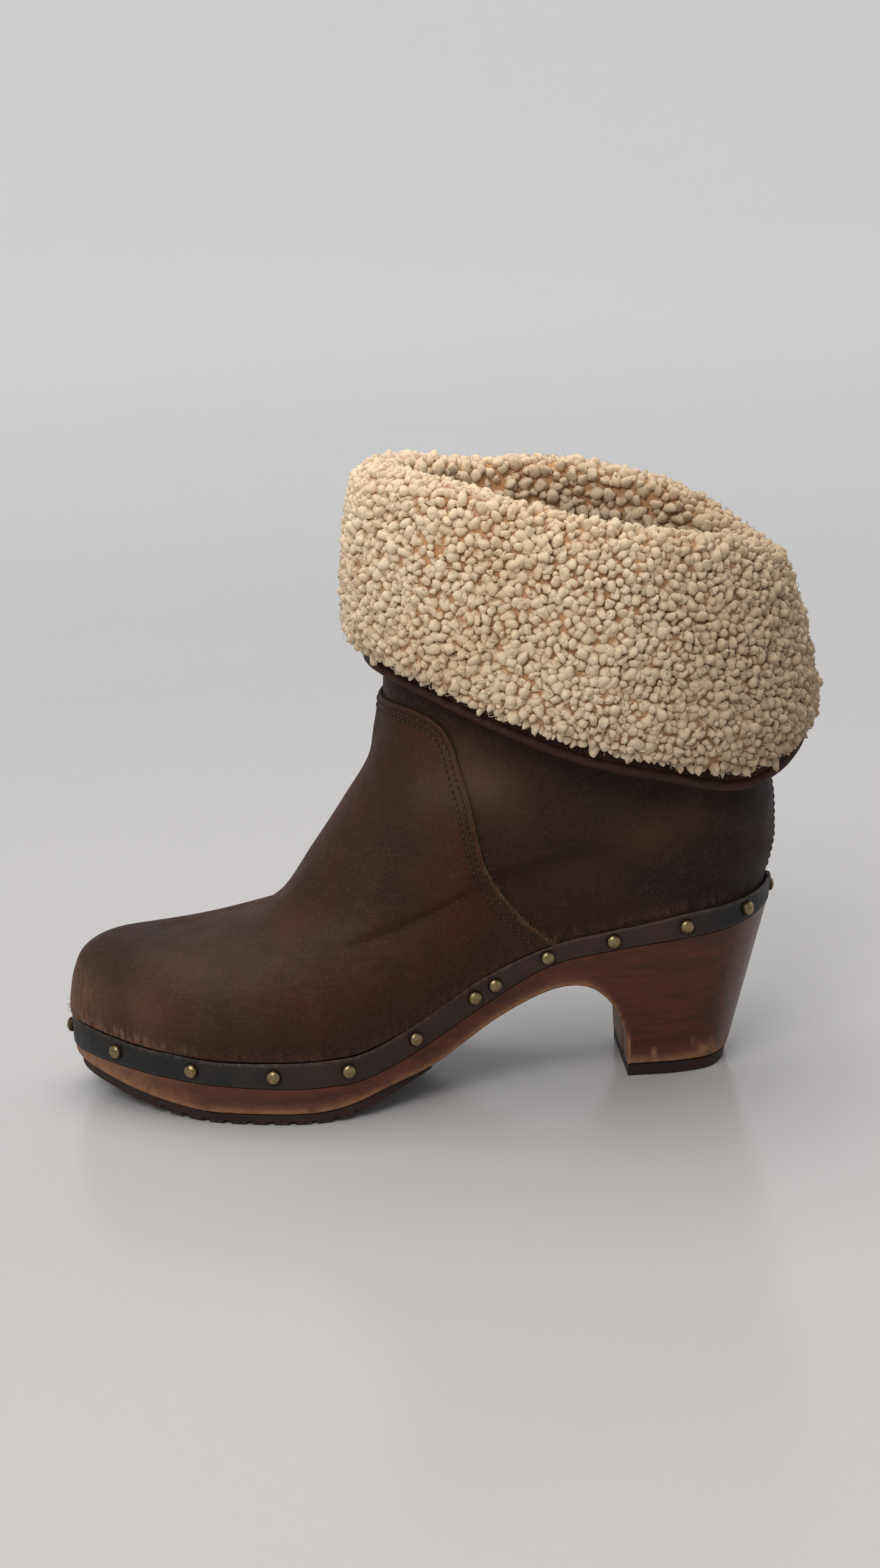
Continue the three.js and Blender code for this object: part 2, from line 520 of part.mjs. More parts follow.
// The shearling: inside the shaft, over the fold and down the outside of the cuff, with locks fused on.
function makeShearling() {
  const onCuff = leather + gap;
  const lining = -leather - gap;
  const hem = rollHeight + hemRise;
  const outside = [
    { at: (c) => [c.stand + onCuff + 0.55 * c.pile, c.edgeZ + hem], lump: 0.5 },
    { at: (c) => [c.stand + onCuff + 0.95 * c.pile, c.edgeZ + hem + 0.35 * wool], lump: 1 },
    { at: (c) => [c.stand + onCuff + c.pile, mix(c.edgeZ, c.foldZ, 0.3)], lump: 1 },
    { at: (c) => [mix(foldStand, c.stand, 0.75) + onCuff + c.pile, mix(c.edgeZ, c.foldZ, 0.5)], lump: 1 },
    { at: (c) => [mix(foldStand, c.stand, 0.55) + onCuff + 0.9 * c.pile, mix(c.edgeZ, c.foldZ, 0.7)], lump: 1 },
    { at: (c) => [mix(foldStand, c.stand, 0.3) + onCuff + 0.75 * c.pile, mix(c.edgeZ, c.foldZ, 0.87)], lump: 1 },
    { at: (c) => [foldStand + onCuff + 0.35 * c.pile, c.foldZ + 0.5 * woolOverFold], lump: 0.8 },
    { at: (c) => [0, c.foldZ + woolOverFold], lump: 0.7 },
    { at: (c) => [lining - 0.7 * woolInside, c.foldZ + 0.5 * woolOverFold], lump: 0.7 },
  ];
  const backing = [
    { at: (c) => [lining, c.foldZ + gap] },
    { at: (c) => [foldStand + gap, c.foldZ + gap] },
    { at: (c) => [foldStand + onCuff, c.foldZ - 2 * leather + gap] },
    { at: (c) => [mix(foldStand, c.stand, 0.6) + onCuff, mix(c.foldZ, c.edgeZ, 0.5)] },
    { at: (c) => [c.stand + onCuff, c.edgeZ + hem] },
  ];
  const lumpHeight = 1.5;
  const around = ({ at, lump = 0 }, row) => ringOf((station) => {
    const [out, z] = at(cuffAt(station));
    const away = Math.sign(out) || 1;
    return collarPoint(station, out + away * lump * lumpHeight * scatter(station, row), z);
  });
  const within = (ring, out) => ringOf((station) => upperOffset(station, ring, lining - out));
  const liningRings = [topRow - 0.4, topRow - 1, topRow - 2, topRow - 3, plainRow];
  const body = toSolid(loft([
    ...outside.map(around),
    ...liningRings.map((ring) => within(ring, woolInside)),
    ...[plainRow, topRow - 3, topRow - 2, topRow - 1, topRow].map((ring) => within(ring, 0)),
    ...backing.map(around),
  ], true));
  const locks = [];
  for (let i = 0; i < lockCount; i += 1) {
    const station = ((i + 0.5 * scatter(i, 1)) * count) / lockCount;
    const c = cuffAt(station);
    const radius = ((lockSize * c.pile) / wool) * (1 + 0.15 * scatter(i, 5));
    const rise = 0.5 + 0.2 * scatter(i, 9);
    const seats = [
      [c.stand + onCuff + c.pile - 0.5 * radius, c.edgeZ + hem + (0.75 + 0.15 * scatter(i, 3)) * radius],
      [foldStand + 0.2 * c.pile, c.foldZ + woolOverFold - 0.3 * radius],
      [mix(c.stand, foldStand, rise) + onCuff + c.pile - 0.3 * radius, mix(c.edgeZ, c.foldZ, rise)],
    ];
    const spot = collarPoint(station, ...seats[i % 3]);
    const lump = new THREE.IcosahedronGeometry(radius, 0).rotateZ(i).rotateX(2 * i);
    locks.push(toSolid(lump.translate(spot.x, spot.y, spot.z)));
  }
  return toGeometry(wasm.Manifold.union([body, ...locks]));
}

const colours = {
  wood: 0xa5582c,
  rubber: 0x4a2b20,
  rand: 0x1d1412,
  upper: 0x4a3228,
  vamp: 0x3c2b24,
  brass: 0x9c7d4a,
  wool: 0xd8c49a,
  insole: 0xb89a72,
};

const group = new THREE.Group();

function add(name, geometry, colour) {
  const mesh = new THREE.Mesh(geometry, new THREE.MeshStandardMaterial({ color: colour }));
  mesh.name = name;
  group.add(mesh);
}

add('wood_sole', makeWood(), colours.wood);
add('outsole', makeOutsole(), colours.rubber);
add('heel_tip', makeHeelTip(), colours.rubber);
add('rand', makeRand(), colours.rand);
add('insole', makeInsole(), colours.insole);
add('upper', makeUpper(), colours.upper);
add('vamp', makeVamp(), colours.vamp);
add('cuff', makeCuff(), colours.upper);
add('shearling', makeShearling(), colours.wool);

const studPlaces = [
  [0, 'lateral'],
  ...outerStuds.map((along) => [along, 'lateral']),
  [1, 'lateral'],
  ...innerStuds.toReversed().map((along) => [along, 'medial']),
];
studPlaces.forEach(([along, side], i) => {
  add(`stud_${String(i + 1).padStart(2, '0')}`, makeStud(along, side), colours.brass);
});

export default group;
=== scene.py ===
# %% [markdown]
# # A clog boot with a wooden sole and a shearling cuff
# The real boot is built from the ground up. A block of wood is carved into a sole with a high heel and gets
# rubber underneath. The leather upper is pulled tight and nailed round the wood's edge through a strip called
# the rand. The shaft ends in a shearling collar that is turned down, so that its wool shows on the outside.
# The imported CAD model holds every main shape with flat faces. Here each piece is worked out again from the
# same sizes and tables, with many more points, and takes the place of its CAD piece.

import bmesh
import bpy
import numpy as np
from mathutils import Matrix, Vector


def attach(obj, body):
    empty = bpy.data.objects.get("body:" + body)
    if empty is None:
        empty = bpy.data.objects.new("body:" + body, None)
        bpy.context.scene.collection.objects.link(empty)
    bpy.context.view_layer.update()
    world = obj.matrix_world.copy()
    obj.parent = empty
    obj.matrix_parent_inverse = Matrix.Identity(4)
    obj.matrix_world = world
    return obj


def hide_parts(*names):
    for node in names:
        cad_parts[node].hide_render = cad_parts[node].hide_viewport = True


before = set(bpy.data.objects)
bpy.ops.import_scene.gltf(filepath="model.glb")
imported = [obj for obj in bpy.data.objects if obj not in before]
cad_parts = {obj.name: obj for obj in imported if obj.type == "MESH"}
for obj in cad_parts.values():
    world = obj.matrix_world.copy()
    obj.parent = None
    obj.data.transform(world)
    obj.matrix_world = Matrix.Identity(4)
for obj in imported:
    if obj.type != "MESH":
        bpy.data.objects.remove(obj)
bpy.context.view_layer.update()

# %% [markdown]
# ## Sizes and tables
# The boot is a left one. X points to the outer side of the foot, Y to the heel and Z up, and the floor is at
# zero. All lengths are in millimetres until a mesh is made. The tables hold shares of a few named sizes, as a
# shoemaker's pattern does: the sole from toe to heel, and the upper in rings from its nailed edge to the top
# of the shaft.

# %% Sizes in millimetres
LENGTH = 269.0
HEEL_BACK = 34.0
TOE_Y = HEEL_BACK - LENGTH
BALL_WIDTH = 98.0
SEAT_HEIGHT = 71.0
SHAFT_WIDTH = 92.0
SHAFT_TOP_FRONT = 226.0
SHAFT_TOP_BACK = 194.0
LEATHER = 2.0
OVERLAY = 1.3
OVERLAY_GAP = 0.7
GAP = 0.3
RAND_THICKNESS = 1.6
RAND_PROUD = 0.6
CORE_DROP = 1.5
OUTSOLE_THICKNESS = 4.0
HEEL_TIP_THICKNESS = 5.0
STUD_DIAMETER = 5.6
STUD_HEIGHT = 1.9
CUFF_EDGE_FRONT = 163.0
CUFF_EDGE_BACK = 118.0
ROLL_HEIGHT = 5.0
ROLL_OUT = 2.6
HEM_RISE = 4.5
WOOL = 10.0
WOOL_OVER_FOLD = 8.5
WOOL_INSIDE = 8.0
FOLD_STAND = 1.2
PAIRS = 22
COUNT = 2 * PAIRS
OVAL_POWER = 2.25
PLAIN_ROW = 12

# %% Tables of shares
SOLE_COLUMNS = ["along", "lateral", "medial", "feather", "low", "taper"]
SOLE = np.array([
    [0, -0.02, -0.02, 0.437, 0.268, 0.02],
    [0.011, 0.088, -0.122, 0.435, 0.267, 0.02],
    [0.037, 0.18, -0.192, 0.425, 0.262, 0.02],
    [0.074, 0.272, -0.25, 0.405, 0.25, 0.02],
    [0.13, 0.374, -0.3, 0.378, 0.232, 0.02],
    [0.205, 0.47, -0.37, 0.357, 0.215, 0.01],
    [0.297, 0.526, -0.449, 0.352, 0.203, 0.005],
    [0.353, 0.53, -0.468, 0.355, 0.203, 0.005],
    [0.409, 0.503, -0.455, 0.375, 0.22, 0.01],
    [0.483, 0.436, -0.385, 0.48, 0.32, 0.03],
    [0.576, 0.367, -0.306, 0.672, 0.51, 0.045],
    [0.669, 0.327, -0.275, 0.805, 0.69, 0.065],
    [0.762, 0.316, -0.286, 0.872, 0.757, 0.085],
    [0.855, 0.32, -0.308, 0.94, 0.802, 0.095],
    [0.922, 0.286, -0.281, 0.972, 0.83, 0.115],
    [0.967, 0.2, -0.2, 0.99, 0.862, 0.15],
    [0.989, 0.115, -0.115, 1, 0.882, 0.17],
    [1, 0, 0, 1, 0.89, 0.173],
])
UPPER_COLUMNS = [
    "front", "front_rise", "back", "back_rise", "nose", "ball", "rear", "oval", "wide", "follow", "cling",
]
UPPER = np.array([
    [0, 0, 1, 0, 1, 1, 1, 0, 1, 1, 1],
    [0, 0, 1, 0, 1, 1, 1, 0, 1, 1, 1],
    [0.007, 0.044, 1.004, 0.058, 1.02, 1.02, 1.04, 0, 1, 1, 0.3],
    [0.013, 0.083, 1.008, 0.124, 1.01, 1.02, 1.08, 0, 1, 1, 0],
    [0.027, 0.12, 1.009, 0.18, 0.98, 1, 1.12, 0.02, 1, 1, 0],
    [0.059, 0.143, 1.009, 0.23, 0.95, 0.96, 1.17, 0.07, 0.97, 1, 0],
    [0.115, 0.146, 1.008, 0.275, 0.91, 0.905, 1.22, 0.16, 0.95, 0.9, 0],
    [0.185, 0.146, 1.005, 0.32, 0.86, 0.85, 1.27, 0.3, 0.945, 0.7, 0],
    [0.253, 0.165, 1.002, 0.362, 0.86, 0.87, 1.3, 0.5, 0.945, 0.55, 0],
    [0.309, 0.21, 0.999, 0.405, 0.84, 0.86, 1.32, 0.7, 0.95, 0.4, 0],
    [0.357, 0.298, 0.997, 0.455, 0.84, 0.86, 1.33, 0.87, 0.96, 0.25, 0],
    [0.403, 0.386, 0.996, 0.515, 0.84, 0.86, 1.33, 0.97, 0.965, 0.12, 0],
    [0.445, 0.474, 0.996, 0.585, 0.84, 0.86, 1.33, 1, 0.975, 0.04, 0],
    [0.457, 0.551, 0.996, 0.655, 0.84, 0.86, 1.33, 1, 0.985, 0, 0],
    [0.465, 0.62, 0.996, 0.719, 0.84, 0.86, 1.33, 1, 0.995, 0, 0],
    [0.467, 0.764, 0.996, 0.818, 0.84, 0.86, 1.33, 1, 1, 0, 0],
    [0.469, 1, 0.996, 1, 0.84, 0.86, 1.33, 1, 1, 0, 0],
])
TOP_RING = len(UPPER) - 1
UNDERSIDE = np.array([
    # share of the length from the toe, share of the seat's height
    [-0.02, 0.25], [0.015, 0.205], [0.052, 0.165], [0.095, 0.12], [0.135, 0.087], [0.172, 0.067],
    [0.205, 0.06], [0.33, 0.06], [0.365, 0.07], [0.398, 0.095], [0.435, 0.14], [0.504, 0.219],
    [0.549, 0.316], [0.593, 0.42], [0.638, 0.503], [0.677, 0.556], [0.706, 0.569], [0.731, 0.549],
    [0.751, 0.493], [0.766, 0.415], [0.777, 0.317], [0.784, 0.207],
])
OUTSOLE_END = 0.504
OUTSOLE_THINS_FROM = 0.435
VAMP_EDGE = np.array([
    # share of the length from the toe, share of the shaft's front height
    [0.3, 0.664], [0.485, 0.664], [0.505, 0.66], [0.524, 0.651], [0.541, 0.634], [0.553, 0.604],
    [0.561, 0.56], [0.57, 0.522], [0.5765, 0.469], [0.584, 0.421], [0.596, 0.381], [0.615, 0.346],
    [0.64, 0.304], [0.67, 0.269], [0.7, 0.24],
])
CUFF_COLUMNS = ["around", "edge", "stand", "pile", "outer_rim", "inner_rim"]
CUFF = np.array([
    [0, 0, 0.04, 1, 0, 0],
    [0.1, 0.12, 0.06, 1, 0.015, 0.01],
    [0.25, 0.36, 0.095, 1, 0.005, 0.025],
    [0.45, 0.64, 0.11, 1, -0.015, 0.085],
    [0.65, 0.85, 0.11, 1, -0.015, 0.1],
    [0.82, 1, 0.115, 0.9, 0, 0.08],
    [0.92, 0.94, 0.115, 0.75, -0.02, 0.02],
    [1, 0.77, 0.115, 0.6, -0.05, -0.05],
])
OUTER_STUDS = [0.068, 0.174, 0.286, 0.388, 0.482, 0.567, 0.596, 0.671, 0.764, 0.866, 0.955]
INNER_STUDS = [0.06, 0.158, 0.265, 0.368, 0.468, 0.572, 0.671, 0.764, 0.866, 0.955]
print("table rows:", len(SOLE), "sole,", len(UPPER), "upper,", len(CUFF), "cuff")

# %% [markdown]
# ## Smooth curves through the tables
# A table row is a place where the shoemaker took a measure. Between rows the shape runs on smoothly, so each
# column is read through one cubic curve. Everything works on whole arrays, so one call gives a thousand
# points.


# %% Curves and outlines
def cubic(values, slopes, start, t, step=1.0):
    """The cubic piece from a row to the next one, at a share t of the step between them."""
    rise = t * t * (3 - 2 * t)
    bend = slopes[start] * (t**3 - 2 * t**2 + t) + slopes[start + 1] * (t**3 - t**2)
    return values[start] * (1 - rise) + values[start + 1] * rise + step * bend


def smooth(places, values, at):
    """A smooth curve through a table's column, where each row's slope is that of its two neighbours."""
    rows = np.arange(len(places))
    before = np.maximum(rows - 1, 0)
    after = np.minimum(rows + 1, len(places) - 1)
    slopes = (values[after] - values[before]) / (places[after] - places[before])
    spot = np.clip(at, places[0], places[-1])
    start = np.clip(np.searchsorted(places, spot, side="left") - 1, 0, len(places) - 2)
    step = places[start + 1] - places[start]
    return cubic(values, slopes, start, (spot - places[start]) / step, step)


def through(rows, at):
    """The same smooth curve through whole rows of points, evenly spaced, read at the given row numbers."""
    slopes = np.gradient(rows, axis=0)
    start = np.clip(np.ceil(at).astype(int) - 1, 0, len(rows) - 2)
    return cubic(rows, slopes, start, (at - start)[:, None, None])


def mix(a, b, share):
    """A value between a and b."""
    return a + (b - a) * share


def unit(vectors):
    """The same ways with a length of one."""
    return vectors / np.linalg.norm(vectors, axis=-1, keepdims=True)


def bell(distance, width):
    """A bell curve: 1 at no distance and e to minus the square of distance over width elsewhere."""
    return np.exp(-((distance / width) ** 2))


def step_up(value, low, high):
    """0 below low, 1 above high and a smooth rise between."""
    t = np.clip((value - low) / (high - low), 0, 1)
    return t * t * (3 - 2 * t)


def angle_of(share):
    """The half turn whose cosine gives that share of the length: it spreads the rows round the blunt ends."""
    return np.arccos(np.clip(1 - 2 * np.asarray(share, float), -1, 1))


def along_of(y):
    """Y as a share of the sole's length from the toe."""
    return (y - TOE_Y) / LENGTH


def y_of(along):
    """The Y of a share of the length."""
    return TOE_Y + along * LENGTH


def sole_value(column, along):
    """A column of the sole's table at a share of the length."""
    return smooth(angle_of(SOLE[:, 0]), SOLE[:, SOLE_COLUMNS.index(column)], angle_of(along))


def feather_z(y):
    """The height where the leather leaves the rand."""
    return SEAT_HEIGHT * sole_value("feather", along_of(y))


def low_z(y):
    """The height of the rand's lower edge."""
    return SEAT_HEIGHT * sole_value("low", along_of(y))


def share_of(station):
    """The share of the length at a station. Stations run from the toe along the outer side to the heel, and
    back along the inner side.
    """
    return (1 - np.cos(np.pi * station / PAIRS)) / 2


def on_side(station, side):
    """A station counted from the toe, on the outer side for 1 and on the inner side for -1."""
    return station if side > 0 else COUNT - station


def stations_round(count):
    """Stations at even steps all the way round the boot."""
    return np.arange(0, COUNT, COUNT / count)


def is_outer(station):
    """Whether a station lies on the foot's outer side."""
    return np.mod(station, COUNT) <= PAIRS


def raw_outline(station):
    """The sole's edge in plan: X from the outer or the inner column, Y from the station's share."""
    share = share_of(station)
    column = np.where(is_outer(station), sole_value("lateral", share), sole_value("medial", share))
    return np.stack([BALL_WIDTH * column, y_of(share)], -1)


def outline(station, inset):
    """The sole's edge moved inward by inset along its own normal in plan."""
    ahead = raw_outline(station + 0.25) - raw_outline(station - 0.25)
    ahead = unit(ahead)
    inward = np.stack([-ahead[..., 1], ahead[..., 0]], -1)
    return raw_outline(station) + inward * np.asarray(inset)[..., None]


UPPER_INSET = RAND_THICKNESS + GAP - RAND_PROUD
CORE_INSET = UPPER_INSET + LEATHER + GAP
print("sole length %.0f mm, leather starts %.1f mm inside its edge" % (LENGTH, UPPER_INSET))

# %% [markdown]
# ## The upper's surface
# One surface carries most of the boot: the leather from its nailed edge over the toe and instep and up the
# shaft. It is a function of two numbers, the station round the boot and the ring above the sole. Low rings
# keep the sole's outline, high rings are ovals, and between them one turns into the other. The vamp, the
# lining and the collar all use it.


# %% The upper as a function of station and ring
BALL_TO_REAR = (0.42, 0.75)
NOSE_TO_REAR = (0.7, 0.9)
TOE_TO_MIDDLE = (0.03, 0.25)
MIDDLE_TO_HEEL = (0.75, 0.95)


def cuff_value(column, around):
    """A column of the cuff's table at a share of the shaft's depth."""
    return smooth(CUFF[:, 0], CUFF[:, CUFF_COLUMNS.index(column)], around)


def upper_point(station, ring):
    """A point of the leather's outer face. Y runs between the ring's front and back. X is the sole's width
    there or an oval's. Z is a straight slope from front to back, or runs evenly over the feather line.
    """
    station, ring = np.broadcast_arrays(np.asarray(station, float), np.asarray(ring, float))
    row = {name: smooth(np.arange(len(UPPER)), UPPER[:, i], ring) for i, name in enumerate(UPPER_COLUMNS)}
    share = share_of(station)
    seat = outline(station, np.full(station.shape, UPPER_INSET))
    front_y = y_of(row["front"])
    back_y = y_of(row["back"])
    y = mix(mix(front_y, back_y, share), seat[..., 1], row["cling"])
    side = np.where(is_outer(station), 1.0, -1.0)
    along = np.clip(along_of(y), 0, 1)
    width = np.where(side > 0, sole_value("lateral", along), sole_value("medial", along))
    beside = BALL_WIDTH * width - side * UPPER_INSET
    passed = beside * mix(row["ball"], row["rear"], step_up(along, *BALL_TO_REAR))
    rounded = seat[..., 0] * mix(row["nose"], row["rear"], step_up(share, *NOSE_TO_REAR))
    middle = step_up(share, *TOE_TO_MIDDLE) * (1 - step_up(share, *MIDDLE_TO_HEEL))
    shaped = mix(rounded, passed, middle)
    bow = np.clip(1 - np.abs(2 * share - 1) ** OVAL_POWER, 0, 1) ** (1 / OVAL_POWER)
    oval = side * SHAFT_WIDTH / 2 * row["wide"] * bow
    x = mix(mix(shaped, oval, row["oval"]), seat[..., 0], row["cling"])
    toe_feather = feather_z(TOE_Y)
    heel_feather = feather_z(HEEL_BACK)
    front_z = toe_feather + row["front_rise"] * (SHAFT_TOP_FRONT - toe_feather)
    back_z = heel_feather + row["back_rise"] * (SHAFT_TOP_BACK - heel_feather)
    parallel = feather_z(y) + mix(front_z - feather_z(front_y), back_z - feather_z(back_y), share)
    z = mix(mix(front_z, back_z, share), parallel, row["follow"])
    rim = np.where(is_outer(station), cuff_value("outer_rim", share), cuff_value("inner_rim", share))
    z = z + SHAFT_WIDTH * rim * step_up(ring, PLAIN_ROW, TOP_RING)
    z = mix(z, low_z(y) + GAP, np.clip(1 - ring, 0, 1))
    return np.stack([x, y, z], -1)


def upper_normal(station, ring):
    """The face's normal: the way round the boot crossed with the way up."""
    around = upper_point(station + 0.3, ring) - upper_point(station - 0.3, ring)
    above = upper_point(station, np.minimum(ring + 0.3, TOP_RING))
    up = above - upper_point(station, np.maximum(ring - 0.3, 0))
    normal = np.cross(around, up)
    return unit(normal)


# %% [markdown]
# Worn leather keeps soft creases where the foot bends. Each is a short line on the surface with a width and a
# depth: the leather sinks in along the line, or rises where the depth is negative, and fades out to both
# sides and at the ends. They are placed one by one from the photograph, on both sides of the boot.

# %% Creases, and a point of the creased leather
CREASES = [
    # start, end, width, depth
    ([30, -92, 138], [8, -112, 140], 5.0, 1.0),
    ([36, -72, 128], [26, -106, 124], 7.0, 0.9),
    ([40, -70, 118], [30, -100, 112], 8.0, -0.6),
    ([42, -60, 110], [38, -96, 96], 10.0, 0.4),
    ([20, -148, 82], [42, -116, 66], 12.0, 0.3),
    ([10, -160, 74], [44, -130, 56], 12.0, -0.25),
    ([44, -20, 112], [46, -62, 92], 15.0, 0.22),
    ([42, 2, 104], [44, -40, 84], 14.0, -0.3),
    ([30, -178, 56], [44, -150, 42], 9.0, 0.5),
    ([38, 6, 92], [28, 24, 96], 8.0, 0.6),
    ([-30, -92, 138], [-8, -112, 140], 5.0, 1.0),
    ([-38, -72, 126], [-24, -106, 122], 7.0, 0.9),
    ([-42, -60, 108], [-36, -98, 98], 10.0, 0.4),
    ([-20, -146, 80], [-40, -118, 66], 12.0, 0.3),
    ([-44, -16, 110], [-44, -60, 90], 14.0, 0.35),
    ([-38, 6, 92], [-28, 24, 96], 8.0, 0.6),
]


def soft_lines(points, lines):
    """The sum over listed lines of their strength times a bell curve of the distance from the line."""
    total = np.zeros(points.shape[:-1])
    for start, end, width, depth in lines:
        start = np.array(start, float)
        line = np.array(end, float) - start
        share = np.clip((points - start) @ line / (line @ line), 0, 1)
        away = np.linalg.norm(points - start - share[..., None] * line, axis=-1)
        total += depth * bell(away, width)
    return total


RIPPLE_WAYS = np.array([
    [0.8, 0.5, 0.3], [-0.4, 0.7, 0.6], [0.3, -0.5, 0.8],
    [0.9, -0.2, -0.4], [0.1, 0.9, -0.3], [-0.6, 0.2, 0.7],
])


def ripple(points, size, seed):
    """A gentle unevenness, mostly between -1 and 1: six slanting waves, the shortest as long as size."""
    phases = np.random.default_rng(seed).uniform(0, 2 * np.pi, len(RIPPLE_WAYS))
    lengths = size * (1 + 0.23 * np.arange(len(RIPPLE_WAYS)))
    waves = [
        np.sin(points @ way * 2 * np.pi / length + phase)
        for way, length, phase in zip(RIPPLE_WAYS, lengths, phases)
    ]
    return sum(waves) / 3


def leather_point(station, ring, out):
    """A point at a distance out from the leather's face, with the creases in."""
    base = upper_point(station, ring)
    sink = soft_lines(base, CREASES) - 0.25 * ripple(base, 46, 3)
    free = step_up(np.broadcast_to(ring, base.shape[:-1]), 1.0, 2.5)
    return base + upper_normal(station, ring) * (out - sink * free)[..., None]


print("creases:", len(CREASES))

# %% [markdown]
# ## From points to a mesh
# A grid of points needs only the numbers of each quad's corners. Where a grid shrinks to one point, as at the
# toe, the doubled points are joined, so that no seam or pole is left open. Faces point outwards: the signed
# volume says so.


# %% Helpers that make meshes
JOIN_WITHIN = 0.000003
FLAT_WITHIN = 0.000001


def grid_faces(rows, columns, close_rows=False, close_columns=False):
    """The quads of a grid of points, as rows of four corner numbers."""
    r = np.arange(rows if close_rows else rows - 1)[:, None]
    c = np.arange(columns if close_columns else columns - 1)[None, :]
    below = r * columns
    above = (r + 1) % rows * columns
    right = (c + 1) % columns
    return np.stack([below + c, below + right, above + right, above + c], -1).reshape(-1, 4)


def repeated(faces, count, points_each):
    """The same faces for each of many copies, whose points follow one another."""
    return (faces[None] + (np.arange(count) * points_each)[:, None, None]).reshape(-1, faces.shape[1])


def flip_if_inside_out(work):
    """Turns all faces round where the mesh holds a negative volume."""
    if work.calc_volume(signed=True) < 0:
        bmesh.ops.reverse_faces(work, faces=work.faces)


def make_piece(name, points, faces, values=None, sharp=40):
    """A new object at the origin from points in millimetres and corner numbers, its doubled points joined."""
    mesh = bpy.data.meshes.new(name)
    mesh.from_pydata((np.asarray(points).reshape(-1, 3) / 1000).tolist(), [], np.asarray(faces).tolist())
    for key, numbers in (values or {}).items():
        layer = mesh.attributes.new(key, "FLOAT", "POINT")
        layer.data.foreach_set("value", np.ascontiguousarray(numbers, dtype=np.float32).ravel())
    work = bmesh.new()
    work.from_mesh(mesh)
    bmesh.ops.remove_doubles(work, verts=work.verts, dist=JOIN_WITHIN)
    bmesh.ops.dissolve_degenerate(work, edges=work.edges, dist=FLAT_WITHIN)
    flip_if_inside_out(work)
    work.to_mesh(mesh)
    work.free()
    mesh.shade_smooth()
    mesh.set_sharp_from_angle(angle=np.radians(sharp))
    piece = bpy.data.objects.new(name, mesh)
    bpy.context.scene.collection.objects.link(piece)
    print(name, "points", len(mesh.vertices), "triangles", sum(len(p.vertices) - 2 for p in mesh.polygons))
    return piece


def make_skin(name, rows, values=None, sharp=40, close_columns=False):
    """A piece from rows of points, with the last row joined to the first."""
    faces = grid_faces(*rows.shape[:2], close_rows=True, close_columns=close_columns)
    return make_piece(name, rows, faces, values, sharp)


def ball_mesh(level):
    """The points and triangles of a ball of unit radius, from Blender's own icosphere."""
    work = bmesh.new()
    bmesh.ops.create_icosphere(work, subdivisions=level, radius=1.0)
    points = np.array([v.co[:] for v in work.verts])
    faces = np.array([[v.index for v in f.verts] for f in work.faces])
    work.free()
    return points, faces


def dress(piece, material, nodes=()):
    """Gives a piece its material, hides the CAD nodes it stands for and lets it ride on the boot."""
    piece.data.materials.append(material)
    if nodes:
        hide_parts(*nodes)
    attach(piece, "root")


# %% [markdown]
# ## Materials
# Each finish is built from noise on the piece's own coordinates, so it looks the same from every side. Worn
# places are known from the shape, so the meshes carry them as values on their points: how near an edge is,
# how deep in the wool. Small relief such as grain goes into the bump, and larger relief is in the meshes.


